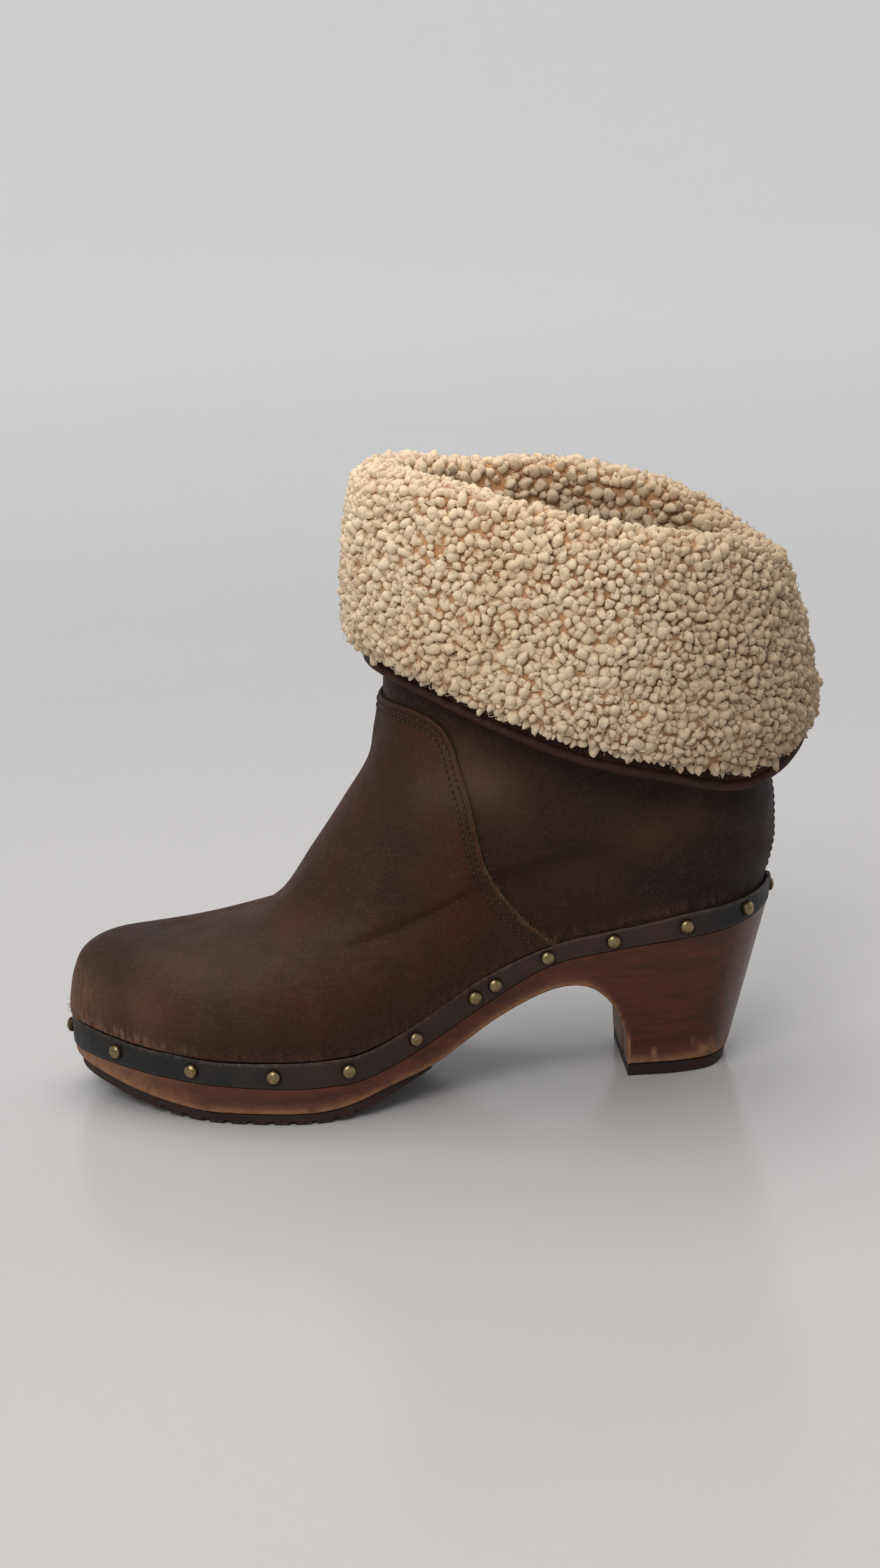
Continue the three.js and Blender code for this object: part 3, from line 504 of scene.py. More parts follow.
# %% Small helpers for node materials
class Finish:
    """A material built node by node. plain holds the shader's values that are the same all over."""

    def __init__(self, name, plain):
        self.material = bpy.data.materials.new(name)
        self.material.use_nodes = True
        self.tree = self.material.node_tree
        self.shader = self.tree.nodes["Principled BSDF"]
        for socket, value in plain.items():
            self.shader.inputs[socket].default_value = value
        self.place = self.tree.nodes.new("ShaderNodeTexCoord").outputs["Object"]

    def plug(self, value, socket):
        """Links a node's output to a socket, or types a plain number or colour into it."""
        if isinstance(value, bpy.types.NodeSocket):
            self.tree.links.new(value, socket)
        else:
            socket.default_value = value

    def stretched(self, scale, turn=(0, 0, 0)):
        """Coordinates scaled along X, Y and Z, which stretches what is drawn on them."""
        node = self.tree.nodes.new("ShaderNodeMapping")
        self.tree.links.new(self.place, node.inputs["Vector"])
        node.inputs["Scale"].default_value = scale
        node.inputs["Rotation"].default_value = turn
        return node.outputs["Vector"]

    def noise(self, scale, detail=3, rough=0.55, swirl=0.0, place=None):
        """Cloudy noise with scale clouds in a metre."""
        node = self.tree.nodes.new("ShaderNodeTexNoise")
        self.tree.links.new(place or self.place, node.inputs["Vector"])
        numbers = {"Scale": scale, "Detail": detail, "Roughness": rough, "Distortion": swirl}
        for socket, number in numbers.items():
            node.inputs[socket].default_value = number
        return node.outputs["Fac"]

    def cells(self, scale):
        """The distance to the nearest of scattered points, scale of them in a metre."""
        node = self.tree.nodes.new("ShaderNodeTexVoronoi")
        self.tree.links.new(self.place, node.inputs["Vector"])
        node.inputs["Scale"].default_value = scale
        return node.outputs["Distance"]

    def value(self, name):
        """A value that the mesh carries on its points."""
        node = self.tree.nodes.new("ShaderNodeAttribute")
        node.attribute_name = name
        return node.outputs["Fac"]

    def axis(self, name):
        """One coordinate, in metres."""
        node = self.tree.nodes.new("ShaderNodeSeparateXYZ")
        self.tree.links.new(self.place, node.inputs["Vector"])
        return node.outputs[name]

    def fit(self, value, low, high, to_low=0.0, to_high=1.0):
        """A value's range low to high turned into another range."""
        node = self.tree.nodes.new("ShaderNodeMapRange")
        self.plug(value, node.inputs["Value"])
        numbers = {"From Min": low, "From Max": high, "To Min": to_low, "To Max": to_high}
        for socket, number in numbers.items():
            node.inputs[socket].default_value = number
        return node.outputs["Result"]

    def maths(self, operation, a, b):
        """Arithmetic on two values."""
        node = self.tree.nodes.new("ShaderNodeMath")
        node.operation = operation
        self.plug(a, node.inputs[0])
        self.plug(b, node.inputs[1])
        return node.outputs["Value"]

    def blend(self, share, a, b):
        """Two colours mixed by a share."""
        node = self.tree.nodes.new("ShaderNodeMix")
        node.data_type = "RGBA"
        self.plug(share, node.inputs["Factor"])
        self.plug(a, node.inputs["A"])
        self.plug(b, node.inputs["B"])
        return node.outputs["Result"]

    def layers(self, colour, layers):
        """A first colour with others laid over it in turn, each by its own share."""
        for share, upper_colour in layers:
            colour = self.blend(share, colour, upper_colour)
        return colour

    def relief(self, height, distance, strength=1.0, over=None):
        """A bump of a given height in metres, added over another."""
        node = self.tree.nodes.new("ShaderNodeBump")
        node.inputs["Distance"].default_value = distance
        node.inputs["Strength"].default_value = strength
        self.plug(height, node.inputs["Height"])
        if over:
            self.tree.links.new(over, node.inputs["Normal"])
        return node.outputs["Normal"]

    def set(self, **links):
        """Plugs values into the shader and hands back the material."""
        for name, value in links.items():
            self.plug(value, self.shader.inputs[name.replace("_", " ")])
        return self.material


def paint(red, green, blue):
    """A colour typed as screen values from 0 to 255, turned into the shader's light values."""
    share = np.array([red, green, blue]) / 255
    light = np.where(share <= 0.04045, share / 12.92, ((share + 0.055) / 1.055) ** 2.4)
    return (*[float(v) for v in light], 1.0)


# %% [markdown]
# Waxed nubuck is the upper's leather: dark brown with reddish and olive clouds, a fine nap and hardly any
# shine. The toe has gone nearly black, a scuffed tan line shows above the rand, and the quarters are darker
# than the vamp. Shade is painted into the colour along the rand, under the cuff, towards the heel and in a
# diagonal band over the quarter.


# %% Leather
def make_leather(name, red_brown, olive, dark):
    """Three browns in slow clouds, darkened where the mesh says dark (toe and painted shade), pale where it
    says worn.
    """
    leather = Finish(name, {"Specular IOR Level": 0.12})
    clouds = leather.noise(21, 4, 0.62, 0.6)
    patches = leather.noise(58, 5, 0.6, 0.3)
    streaks = leather.noise(34, 6, 0.7, 0.2, leather.stretched((5.0, 1.6, 1.2), (0.5, 0.2, 0.3)))
    scratches = leather.noise(520, 5, 0.7, 0.3, leather.stretched((1.0, 1.0, 0.3)))
    rubbed = leather.maths("MULTIPLY", leather.value("worn"), leather.fit(scratches, 0.45, 0.62))
    nap = leather.noise(1100, 4, 0.75)
    browns = leather.layers(red_brown, [
        (leather.fit(clouds, 0.38, 0.62), olive),
        (leather.fit(patches, 0.4, 0.75, 0, 0.55), dark),
        # The mesh's dark value: the toe's own near-black, plus painted shade along the rand, under the cuff
        # and at the heel.
        (leather.value("dark"), dark),
        (leather.fit(streaks, 0.56, 0.8, 0, 0.35), paint(84, 60, 46)),
        (leather.fit(leather.cells(150), 0.02, 0.045, 0.5, 0), paint(120, 96, 78)),
        (rubbed, paint(138, 98, 74)),
        (leather.value("pale"), paint(106, 76, 56)),
        (leather.value("raw"), paint(104, 78, 60)),
        (leather.fit(nap, 0.5, 0.72, 0, 0.3), paint(98, 74, 60)),
        (leather.fit(nap, 0.28, 0.45, 0.3, 0), paint(24, 15, 13)),
    ])
    grain = leather.relief(leather.cells(1300), 0.00012, 0.55)
    wrinkles = leather.noise(170, 5, 0.65, 0.8, leather.stretched((1.0, 0.55, 1.8), (0.6, 0.0, 0.0)))
    grain = leather.relief(wrinkles, 0.0011, 0.5, grain)
    rough = leather.fit(leather.noise(90, 4), 0.3, 0.7, 0.5, 0.68)
    return leather.set(Base_Color=browns, Normal=grain, Roughness=rough)


VAMP_LEATHER = make_leather("vamp_leather", paint(60, 30, 20), paint(50, 33, 22), paint(31, 21, 18))
QUARTER_LEATHER = make_leather("quarter_leather", paint(42, 25, 19), paint(46, 31, 22), paint(28, 19, 18))
CUFF_LEATHER = make_leather("cuff_leather", paint(56, 33, 27), paint(52, 36, 28), paint(32, 22, 20))


# %% [markdown]
# The wood is stained orange-brown under a thin varnish. Its grain runs along the sole, the heel is darker,
# and pale wood shows where the edges have been knocked. The rand is a black to brown strip, the rubber a dark
# reddish brown, and the studs are brass that has gone dark round the rim.


# %% Wood, rand, rubber, brass and the small finishes
def make_wood():
    """Long noise for the grain, a slow change from orange to dark brown, and pale wood where it is worn."""
    wood = Finish("stained_wood", {"Specular IOR Level": 0.3, "Coat Weight": 0.1, "Coat Roughness": 0.25})
    grain = wood.noise(34, 5, 0.6, 0.4, wood.stretched((7.0, 0.9, 7.0), (0.12, 0, 0)))
    pores = wood.noise(150, 4, 0.7, 0.0, wood.stretched((6.0, 0.5, 6.0), (0.12, 0, 0)))
    splinters = wood.fit(wood.noise(210, 6, 0.7), 0.3, 0.55, 0.2, 1.0)
    ragged = wood.maths("MULTIPLY", wood.value("worn"), splinters)
    colour = wood.layers(paint(96, 46, 23), [
        (wood.fit(wood.noise(16, 3, 0.5, 0.2), 0.35, 0.65), paint(72, 31, 16)),
        (wood.fit(wood.axis("Y"), -0.14, -0.02, 0, 0.7), paint(74, 29, 14)),
        (wood.fit(grain, 0.42, 0.62, 0, 0.6), paint(44, 19, 12)),
        (wood.fit(pores, 0.52, 0.68, 0, 0.6), paint(36, 17, 12)),
        (ragged, paint(134, 94, 64)),
        # Dark along the crack up the heel's breast.
        (wood.value("crack_dark"), paint(36, 24, 20)),
    ])
    relief = wood.relief(pores, 0.0002, 0.4)
    relief = wood.relief(wood.value("worn"), 0.0006, 0.4, relief)
    return wood.set(Base_Color=colour, Normal=relief, Roughness=wood.fit(ragged, 0, 1, 0.36, 0.75))


def make_strip():
    """Dark strip leather: nearly black at the toe and heel and brown at the waist, with a fine grain."""
    strip = Finish("rand_leather", {"Specular IOR Level": 0.25})
    toe_end = strip.fit(strip.axis("Y"), -0.175, -0.135)
    heel_end = strip.fit(strip.axis("Y"), -0.01, 0.015, 1.0, 0.0)
    worn = strip.maths("MULTIPLY", strip.value("worn"), strip.fit(strip.noise(500, 5), 0.4, 0.65))
    colour = strip.layers(paint(26, 27, 27), [
        (strip.maths("MULTIPLY", toe_end, heel_end), paint(46, 31, 27)),
        (strip.fit(strip.noise(70, 5, 0.65), 0.45, 0.75, 0, 0.5), paint(58, 42, 36)),
        (worn, paint(84, 66, 54)),
    ])
    relief = strip.relief(strip.noise(600, 4, 0.6), 0.0004, 0.5)
    rough = strip.fit(strip.noise(120, 3), 0.3, 0.7, 0.42, 0.62)
    return strip.set(Base_Color=colour, Normal=relief, Roughness=rough)


RIB_TURNS = 2100.0


def make_rubber():
    """Reddish-brown rubber, matt, with pale dust and fine ribs across the tread."""
    rubber = Finish("tread_rubber", {"Specular IOR Level": 0.25})
    dust = rubber.noise(140, 6, 0.7)
    colour = rubber.layers(paint(48, 30, 25), [
        (rubber.fit(rubber.noise(30, 3), 0.35, 0.65), paint(35, 23, 20)),
        (rubber.fit(dust, 0.55, 0.8, 0, 0.4), paint(72, 54, 45)),
    ])
    wave = rubber.maths("SINE", rubber.maths("MULTIPLY", rubber.axis("Y"), RIB_TURNS), 0.0)
    below = rubber.fit(rubber.axis("Z"), 0.0006, 0.0012, 1.0, 0.0)
    relief = rubber.relief(rubber.maths("MULTIPLY", wave, below), 0.0006, 0.6)
    relief = rubber.relief(dust, 0.0002, 0.5, relief)
    return rubber.set(Base_Color=colour, Normal=relief, Roughness=rubber.fit(dust, 0.3, 0.7, 0.5, 0.72))


def make_brass():
    """Old brass: bright on the dome, brown round the rim, with small dents."""
    brass = Finish("old_brass", {"Metallic": 1.0})
    spots = brass.fit(brass.noise(520, 4, 0.6), 0.5, 0.72, 0, 0.7)
    tarnish = brass.maths("MAXIMUM", brass.value("rim"), spots)
    colour = brass.blend(tarnish, paint(138, 122, 88), paint(58, 47, 34))
    relief = brass.relief(brass.noise(700, 3), 0.0002, 0.4)
    return brass.set(Base_Color=colour, Normal=relief, Roughness=brass.fit(tarnish, 0, 1, 0.3, 0.55))


def make_thread(name, colour, other):
    """Waxed thread or loose leather fibre, a little lighter and darker from place to place."""
    thread = Finish(name, {"Roughness": 0.7, "Specular IOR Level": 0.3})
    mixed = thread.blend(thread.fit(thread.noise(300, 3), 0.35, 0.65), colour, other)
    return thread.set(Base_Color=mixed, Normal=thread.relief(thread.noise(2600, 2), 0.0001, 0.5))


WOOD = make_wood()
STRIP = make_strip()
RUBBER = make_rubber()
BRASS = make_brass()
THREAD = make_thread("seam_thread", paint(82, 58, 48), paint(52, 36, 30))
# Nearly black balls in the needle holes, as painted shade.
HOLE_SHADE = make_thread("needle_hole_shade", paint(16, 10, 9), paint(22, 14, 12))
FIBRE = make_thread("leather_fibre", paint(132, 100, 76), paint(84, 60, 46))


# %% [markdown]
# Shearling is tanned sheepskin with its wool left on. Each lock is cream at its tip and browner towards the
# skin, partly its own colour and partly painted shade between the locks, and the whole is matt with a soft
# edge, which the shader's sheen gives. The collar is painted greyer towards its back and down inside the
# shaft, as painted shade.


# %% Wool
def make_wool():
    """Cream tips in soft clouds, browner depths (partly painted shade), painted grey-brown shade, curly
    relief.
    """
    plain = {"Roughness": 0.95, "Specular IOR Level": 0.1, "Sheen Weight": 0.25, "Sheen Roughness": 0.6}
    wool = Finish("shearling_wool", plain)
    wool.shader.inputs["Sheen Tint"].default_value = paint(255, 240, 215)
    tip = wool.blend(wool.fit(wool.noise(24, 4, 0.6), 0.36, 0.66), paint(240, 217, 186), paint(224, 197, 162))
    # Painted shade: tips and roots turn grey-brown where the mesh asks, at the back and inside the shaft.
    tip = wool.blend(wool.value("wool_shade"), tip, paint(176, 150, 121))
    root = wool.blend(wool.value("wool_shade"), paint(204, 154, 108), paint(150, 110, 76))
    # From root to tip by each point's height in its bead: browner roots are partly the wool's own colour,
    # partly painted shade.
    depth = wool.maths("ADD", wool.value("tip"), wool.fit(wool.noise(700, 4, 0.6), 0.3, 0.7, -0.16, 0.16))
    colour = wool.blend(wool.fit(depth, 0.15, 0.95), root, tip)
    relief = wool.relief(wool.noise(900, 5, 0.68, 0.9), 0.0009, 0.75)
    relief = wool.relief(wool.noise(2600, 3, 0.6, 0.6), 0.0003, 0.6, relief)
    return wool.set(Base_Color=colour, Normal=relief)


WOOL_FINISH = make_wool()
print("materials:", len(bpy.data.materials))

# %% [markdown]
# ## The leather upper
# The upper is one hollow shell, 2 mm thick, nailed round the wood. Its outer and inner faces are the same
# surface at two distances, joined at the top and under the rand, so the mesh is closed. A seam runs up the
# middle of the back, where the two quarters meet, and a fainter one up the shaft's front above the vamp: each
# is a narrow groove between two raised edges.


# %% Quarters and shaft
def seam_relief(across, height=0.7):
    """The raised edges of a butted seam at a distance across from its middle: a ridge with a groove in it."""
    return height * bell(across, 2.2) - 1.3 * height * bell(across, 0.45)


def dark_and_shade(points):
    """Dark on the leather: the toe's cap has gone dark, and shade is painted along the rand and over the
    quarters.
    """
    y, z = points[..., 1], points[..., 2]
    toe = step_up(-y, 176, 212) * step_up(z, 34, 60)
    # Painted shade along the rand, towards the heel, under the cuff and in a diagonal band over the quarter.
    low = bell(z - feather_z(y), 7)
    rear = step_up(y, -30, 26) * 0.5
    cuff_shade = step_up(z, 92, 122) * step_up(y, -50, 0) * 0.5
    band = bell(z - 86 + 0.4 * (y + 20), 9) * step_up(y, -75, -40) * 0.5
    return np.clip(0.75 * toe + 0.45 * low + rear + cuff_shade + band, 0, 1)


def rubbed_edge(points):
    """Where the leather is scuffed: a line above the rand, most of all round the toe."""
    y, z = points[..., 1], points[..., 2]
    above = z - feather_z(y)
    toe = step_up(-y, 178, 228)
    line = bell(above - 2.0, 2.4) * (0.1 + 0.8 * toe)
    front = step_up(-y, 218, 233)
    cap = 0.55 * front * bell(above - 12, 9)
    return np.clip(line + cap, 0, 1)


PALE_PATCHES = [
    # start, end, width, strength
    ([34, -88, 126], [42, -72, 118], 13.0, 0.4),
    ([45, -44, 84], [45, 0, 106], 10.0, 0.4),
    ([46, -64, 62], [46, -40, 70], 9.0, 0.2),
    ([34, -196, 52], [42, -176, 48], 16.0, 0.22),
    ([8, -232, 34], [34, -214, 34], 18.0, 0.5),
    ([-8, -232, 34], [-34, -214, 34], 18.0, 0.45),
    ([-34, -88, 126], [-42, -70, 116], 13.0, 0.35),
    ([-45, -30, 88], [-45, 6, 104], 12.0, 0.35),
]


def leather_values(points):
    """All the values that the leather's finish reads, for pieces with no raw edge."""
    return {
        "dark": dark_and_shade(points),
        "worn": rubbed_edge(points),
        "pale": np.clip(soft_lines(points, PALE_PATCHES), 0, 1) * (0.7 + 0.3 * ripple(points, 19, 7)),
        "raw": np.zeros(points.shape[:-1]),
    }


SHELL_COLUMNS = 288
BACK_SEAM_REACH = 2
FRONT_SEAM_REACH = 3
around = stations_round(SHELL_COLUMNS)
outer_rings = np.concatenate([[0, 0.5], np.linspace(0.98, TOP_RING, 140)])
inner_rings = np.linspace(TOP_RING, 0, 26)
outer_face = leather_point(around[None, :], outer_rings[:, None], np.zeros((len(outer_rings), len(around))))
back_seam = seam_relief(outer_face[..., 0]) * (np.abs(around - PAIRS) < BACK_SEAM_REACH)
back_seam = back_seam * step_up(outer_rings, 1.2, 2.0)[:, None]
from_front = np.minimum(around, COUNT - around)
front_seam = seam_relief(outer_face[..., 0], 0.4) * (from_front < FRONT_SEAM_REACH)
front_seam = front_seam * step_up(outer_rings, 13.2, 13.6)[:, None]
outer_face[..., 1] += back_seam - front_seam
inner_depth = np.full((len(inner_rings), len(around)), -LEATHER)
inner_face = leather_point(around[None, :], inner_rings[:, None], inner_depth)
shell = np.concatenate([outer_face, inner_face])
upper_piece = make_skin("leather_upper", shell, leather_values(shell), close_columns=True)
dress(upper_piece, QUARTER_LEATHER, ["upper"])

# %% [markdown]
# ## The vamp
# The vamp is a second piece of leather over the front of the upper. Its edge is cut along a line that a side
# view shows best: level across the instep, then down in a long curve to the rand. For each station the ring
# where the surface crosses that line is looked up, and the piece is a grid from the nailed edge to there. The
# cut edge is raw and tan, and two rows of stitches run inside it.


# %% The vamp's edge
NAILED_RING = 1.1
TOE_STATIONS = 3


def edge_ring(station):
    """For each station the ring where the upper's side view first rises over the vamp's edge line."""
    rings = np.linspace(NAILED_RING, 15, 700)
    points = upper_point(station[:, None], rings[None, :])
    along = along_of(points[..., 1])
    edge_z = np.interp(along, VAMP_EDGE[:, 0], VAMP_EDGE[:, 1] * SHAFT_TOP_FRONT, right=0.0)
    over = points[..., 2] - edge_z
    first = np.argmax(over > 0, axis=1)
    rows = np.arange(len(station))
    before = np.maximum(first - 1, 0)
    share = np.where(first > 0, -over[rows, before] / (over[rows, first] - over[rows, before] + 1e-9), 0)
    return mix(rings[before], rings[first], share)


def vamp_end(direction):
    """The last station, going round in a direction, that the vamp still covers."""
    stations = np.linspace(8, 20, 1200)
    covered = edge_ring(np.mod(direction * stations, COUNT)) > NAILED_RING + 0.02
    return stations[covered].max()


OUTER_END = vamp_end(1)
INNER_END = vamp_end(-1)
quarter_turn = np.linspace(0, np.pi / 2, 130)
vamp_stations = np.concatenate([
    -INNER_END + (INNER_END - TOE_STATIONS) * (1 - np.cos(quarter_turn)),
    np.linspace(-TOE_STATIONS, TOE_STATIONS, 62)[1:-1],
    OUTER_END - (OUTER_END - TOE_STATIONS) * (1 - np.cos(quarter_turn[::-1])),
])
vamp_top = edge_ring(np.mod(vamp_stations, COUNT))
print("vamp: ends at stations %.2f and %.2f, top ring %.2f" % (OUTER_END, INNER_END, vamp_top.max()))


def vamp_point(share, out):
    """A point of the vamp: share 0 is its nailed edge and 1 its cut edge."""
    ring = mix(NAILED_RING, vamp_top[None, :], share[:, None])
    stations = np.broadcast_to(np.mod(vamp_stations, COUNT)[None, :], ring.shape)
    return leather_point(stations, ring, np.broadcast_to(out, ring.shape))


def nearest_in(cloud, points):
    """For each point the number of the nearest one in a cloud, worked out for a part of them at a time."""
    parts = np.array_split(points, 1 + len(points) * len(cloud) // 1000000)
    return np.concatenate([((part[:, None] - cloud[None]) ** 2).sum(-1).argmin(1) for part in parts])


def distance_to(points, line):
    """The distance from each point to the nearest point of a dense line."""
    flat = points.reshape(-1, 3)
    away = flat - line[nearest_in(line, flat)]
    return np.sqrt((away**2).sum(-1)).reshape(points.shape[:-1])


FACE_OUT = OVERLAY_GAP + OVERLAY
cut_edge = vamp_point(np.ones(1), FACE_OUT)[0]
shares = 1 - (1 - np.linspace(0, 1, 120)) ** 1.6
bare_face = vamp_point(shares, FACE_OUT)
from_edge = distance_to(bare_face, cut_edge)

# %% [markdown]
# Two things happen near the edge: the leather thins towards the cut, and each row of stitches pulls it down
# into a shallow channel. Both are a function of the distance from the edge, which is worked out once for
# every point.

# %% The vamp's mesh
STITCH_ROWS = [2.4, 4.9]
BACK_ROWS = 12
FAR_FROM_EDGE = 20.0


def edge_relief(distance):
    """How far the face sinks at a distance from its cut edge: rounded off there, then a channel a row."""
    rounded = 0.6 * bell(distance, 0.6)
    channels = sum(0.16 * bell(distance - row, 0.6) for row in STITCH_ROWS)
    return rounded + channels


face_out = FACE_OUT - edge_relief(from_edge)
vamp_face = vamp_point(shares, face_out)
vamp_back = vamp_point(np.linspace(1, 0, BACK_ROWS), np.full((BACK_ROWS, len(vamp_stations)), OVERLAY_GAP))
vamp_shell = np.concatenate([vamp_face, vamp_back])
near_edge = np.concatenate([from_edge, np.full(vamp_back.shape[:-1], FAR_FROM_EDGE)])
near_edge[-BACK_ROWS] = 0.0
raw = bell(near_edge, 0.5)
stitch_dark = sum(bell(near_edge - row, 0.8) for row in STITCH_ROWS)
vamp_values = leather_values(vamp_shell)
vamp_values["dark"] = np.clip(vamp_values["dark"] + 0.3 * stitch_dark, 0, 1)
lower_part = 1 - step_up(vamp_shell[..., 2], 84, 128)
vamp_values["worn"] = np.maximum(vamp_values["worn"], 0.35 * lower_part * bell(near_edge, 1.6))
vamp_values["raw"] = raw * (0.22 + 0.6 * lower_part)
vamp_piece = make_skin("vamp_leather", vamp_shell, vamp_values)
dress(vamp_piece, VAMP_LEATHER, ["vamp"])

# %% [markdown]
# ## Stitches and loose fibres
# A stitch is a short piece of waxed thread that rises out of one hole and dips into the next. Each is a small
# tube along an arc. They are spaced evenly along lines at fixed distances from the vamp's edge, and along the
# back seam.


# %% Threads along a line
def tubes(paths, radius, sides=6):
    """Many tubes at once: each path is a row of points, and a ring of points is set round each of them."""
    ahead = np.gradient(paths, axis=1)
    ahead = unit(ahead)
    helper = np.where(np.abs(ahead[..., 2:3]) < 0.9, np.array([0, 0, 1.0]), np.array([1.0, 0, 0]))
    across = np.cross(ahead, helper)
    across = unit(across)
    over = np.cross(across, ahead)
    angle = np.linspace(0, 2 * np.pi, sides, endpoint=False)
    ring = np.cos(angle)[:, None] * across[..., None, :] + np.sin(angle)[:, None] * over[..., None, :]
    points = paths[..., None, :] + ring * np.asarray(radius)[..., None, None]
    count, steps = paths.shape[:2]
    faces = repeated(grid_faces(steps, sides, close_columns=True), count, steps * sides)
    return points.reshape(-1, 3), faces


def evenly(line, pitch):
    """Points at an even pitch along a line, with the way ahead at each."""
    steps = np.linalg.norm(np.diff(line, axis=0), axis=1)
    length = np.concatenate([[0], np.cumsum(steps)])
    spots = np.arange(pitch / 2, length[-1], pitch)
    points = np.stack([np.interp(spots, length, line[:, i]) for i in range(3)], -1)
    further = np.stack([np.interp(spots + 0.3, length, line[:, i]) for i in range(3)], -1)
    ahead = further - points
    return points, unit(ahead)


def stitches(line, normals_at, pitch=2.5, length=1.6, thickness=0.27, proud=0.16):
    """Stitches along a line: each is an arc that stands proud in its middle and dips in at its ends."""
    points, ahead = evenly(line, pitch)
    normals = normals_at(points)
    t = np.linspace(-0.5, 0.5, 6)
    arc = proud + 0.12 - 2.4 * proud * (2 * t) ** 4
    paths = points[:, None] + ahead[:, None] * (t * length)[:, None] + normals[:, None] * arc[:, None]
    radius = thickness * np.sqrt(np.clip(1 - (2 * t) ** 6, 0.15, 1))
    return paths, np.broadcast_to(radius, paths.shape[:2])


def line_at_distance(distance):
    """The line on the vamp's face at a distance from its cut edge, found in each column of the grid. Columns
    that hardly reach further than that are left out.
    """
    columns = np.flatnonzero(from_edge.max(axis=0) > distance + 2)
    away = np.maximum.accumulate(from_edge[::-1, columns], axis=0)
    face = vamp_face[::-1, columns]
    past = np.argmax(away > distance, axis=0)
    each = np.arange(len(columns))
    share = (distance - away[past - 1, each]) / (away[past, each] - away[past - 1, each])
    return mix(face[past - 1, each], face[past, each], share[:, None])


def vamp_normals(points):
    """Normals of the vamp's face near given points, read from the nearest grid point."""
    across = np.gradient(vamp_face, axis=1)
    up = np.gradient(vamp_face, axis=0)
    normal = np.cross(across, up).reshape(-1, 3)
    chosen = normal[nearest_in(vamp_face.reshape(-1, 3), points)]
    return unit(chosen)


def backward(points):
    """The way out of the back seam at each point."""
    return np.tile([0, 1.0, 0], (len(points), 1))


def needle_holes(line, normals_at, pitch=2.5):
    """Painted shade of the needle holes between the stitches: dark flattened balls just under the leather's
    face.
    """
    points, _ = evenly(line[1:], pitch)
    normals = normals_at(points)
    along_normal = (BALL @ normals.T).T
    flat = BALL[None] - PIT_FLATNESS * along_normal[..., None] * normals[:, None]
    return points[:, None] + PIT_RADIUS * flat + PIT_RISE * normals[:, None]


# %% Stitches and needle holes
BALL, BALL_FACES = ball_mesh(1)
PIT_RADIUS = 0.5
PIT_FLATNESS = 0.6
PIT_RISE = 0.06
SEAM_OFFSET = 0.42
SEAM_PITCH = 3.0
SEAM_STITCH = 2.0
edge_lines = [line_at_distance(row) for row in STITCH_ROWS]
seam_paths = [stitches(line, vamp_normals) for line in edge_lines]
for side in (-1, 1):
    rings = np.linspace(1.6, 15.5, 120)
    station = np.full(len(rings), PAIRS + side * SEAM_OFFSET)
    seam_line = leather_point(station, rings, np.full(len(rings), 0.12))
    seam_paths.append(stitches(seam_line, backward, SEAM_PITCH, SEAM_STITCH, thickness=0.22, proud=0.05))
all_paths = np.concatenate([paths for paths, _ in seam_paths])
all_radii = np.concatenate([radii for _, radii in seam_paths])
thread_piece = make_piece("seam_stitches", *tubes(all_paths, all_radii))
dress(thread_piece, THREAD)
pits = np.concatenate([needle_holes(line, vamp_normals) for line in edge_lines])
pit_faces = repeated(BALL_FACES, len(pits), len(BALL))
pit_piece = make_piece("needle_holes", pits, pit_faces, sharp=180)
dress(pit_piece, HOLE_SHADE)

# %% [markdown]
# Cut nubuck frays. Short fibres stand out of the lower half of the vamp's cut edge, where the foot bends the
# leather most, and along the scuffed line over the rand at the toe. Each is a thin tapering tube that curls a
# little.


# %% Frayed fibres
def fibres(starts, ways, lengths, seed):
    """Curling fibres: each path starts at a point, runs along its way and bends off in a random direction."""
    rng = np.random.default_rng(seed)
    curl = rng.normal(0, 0.5, starts.shape)
    t = np.linspace(0, 1, 5)
    steps = t[None, :, None]
    paths = starts[:, None] + (ways[:, None] * steps + curl[:, None] * steps**2) * lengths[:, None, None]
    radii = np.broadcast_to(0.075 * (1 - 0.75 * t)[None], paths.shape[:2])
    return paths, radii


def edge_fray(count, seed):
    """Starts and ways of fibres along the cut edge, more of them lower down."""
    rng = np.random.default_rng(seed)
    height = cut_edge[:, 2]
    weight = np.where(height < 110, np.clip((112 - height) / 36, 0.04, 1), 0.04)
    picked = rng.choice(len(cut_edge), count, p=weight / weight.sum())
    outward = vamp_face[-1] - vamp_face[-10]
    outward = unit(outward)
    starts = cut_edge[picked] + rng.normal(0, 0.35, (count, 3)) - 0.3 * outward[picked]
    return starts, outward[picked] + rng.normal(0, 0.35, (count, 3)), rng.uniform(0.4, 1.7, count)


def toe_fray(count, seed):
    """Starts and ways of fibres along the line over the rand round the toe."""
    rng = np.random.default_rng(seed)
    stations = rng.normal(0, 5.0, count)
    rings = rng.uniform(1.15, 1.5, count)
    starts = leather_point(np.mod(stations, COUNT), rings, np.full(count, FACE_OUT - 0.1))
    ways = 0.7 * upper_normal(np.mod(stations, COUNT), rings) + rng.normal(0, 0.5, (count, 3)) - [0, 0, 0.3]
    return starts, ways, rng.uniform(0.3, 1.2, count)


EDGE_FIBRES = 520
TOE_FIBRES = 380
frayed = [fibres(*edge_fray(EDGE_FIBRES, 51), 52), fibres(*toe_fray(TOE_FIBRES, 53), 54)]
fray_paths = np.concatenate([paths for paths, _ in frayed])
fray_radii = np.concatenate([radii for _, radii in frayed])
fray_piece = make_piece("frayed_fibres", *tubes(fray_paths, fray_radii, 3), sharp=180)
dress(fray_piece, FIBRE)
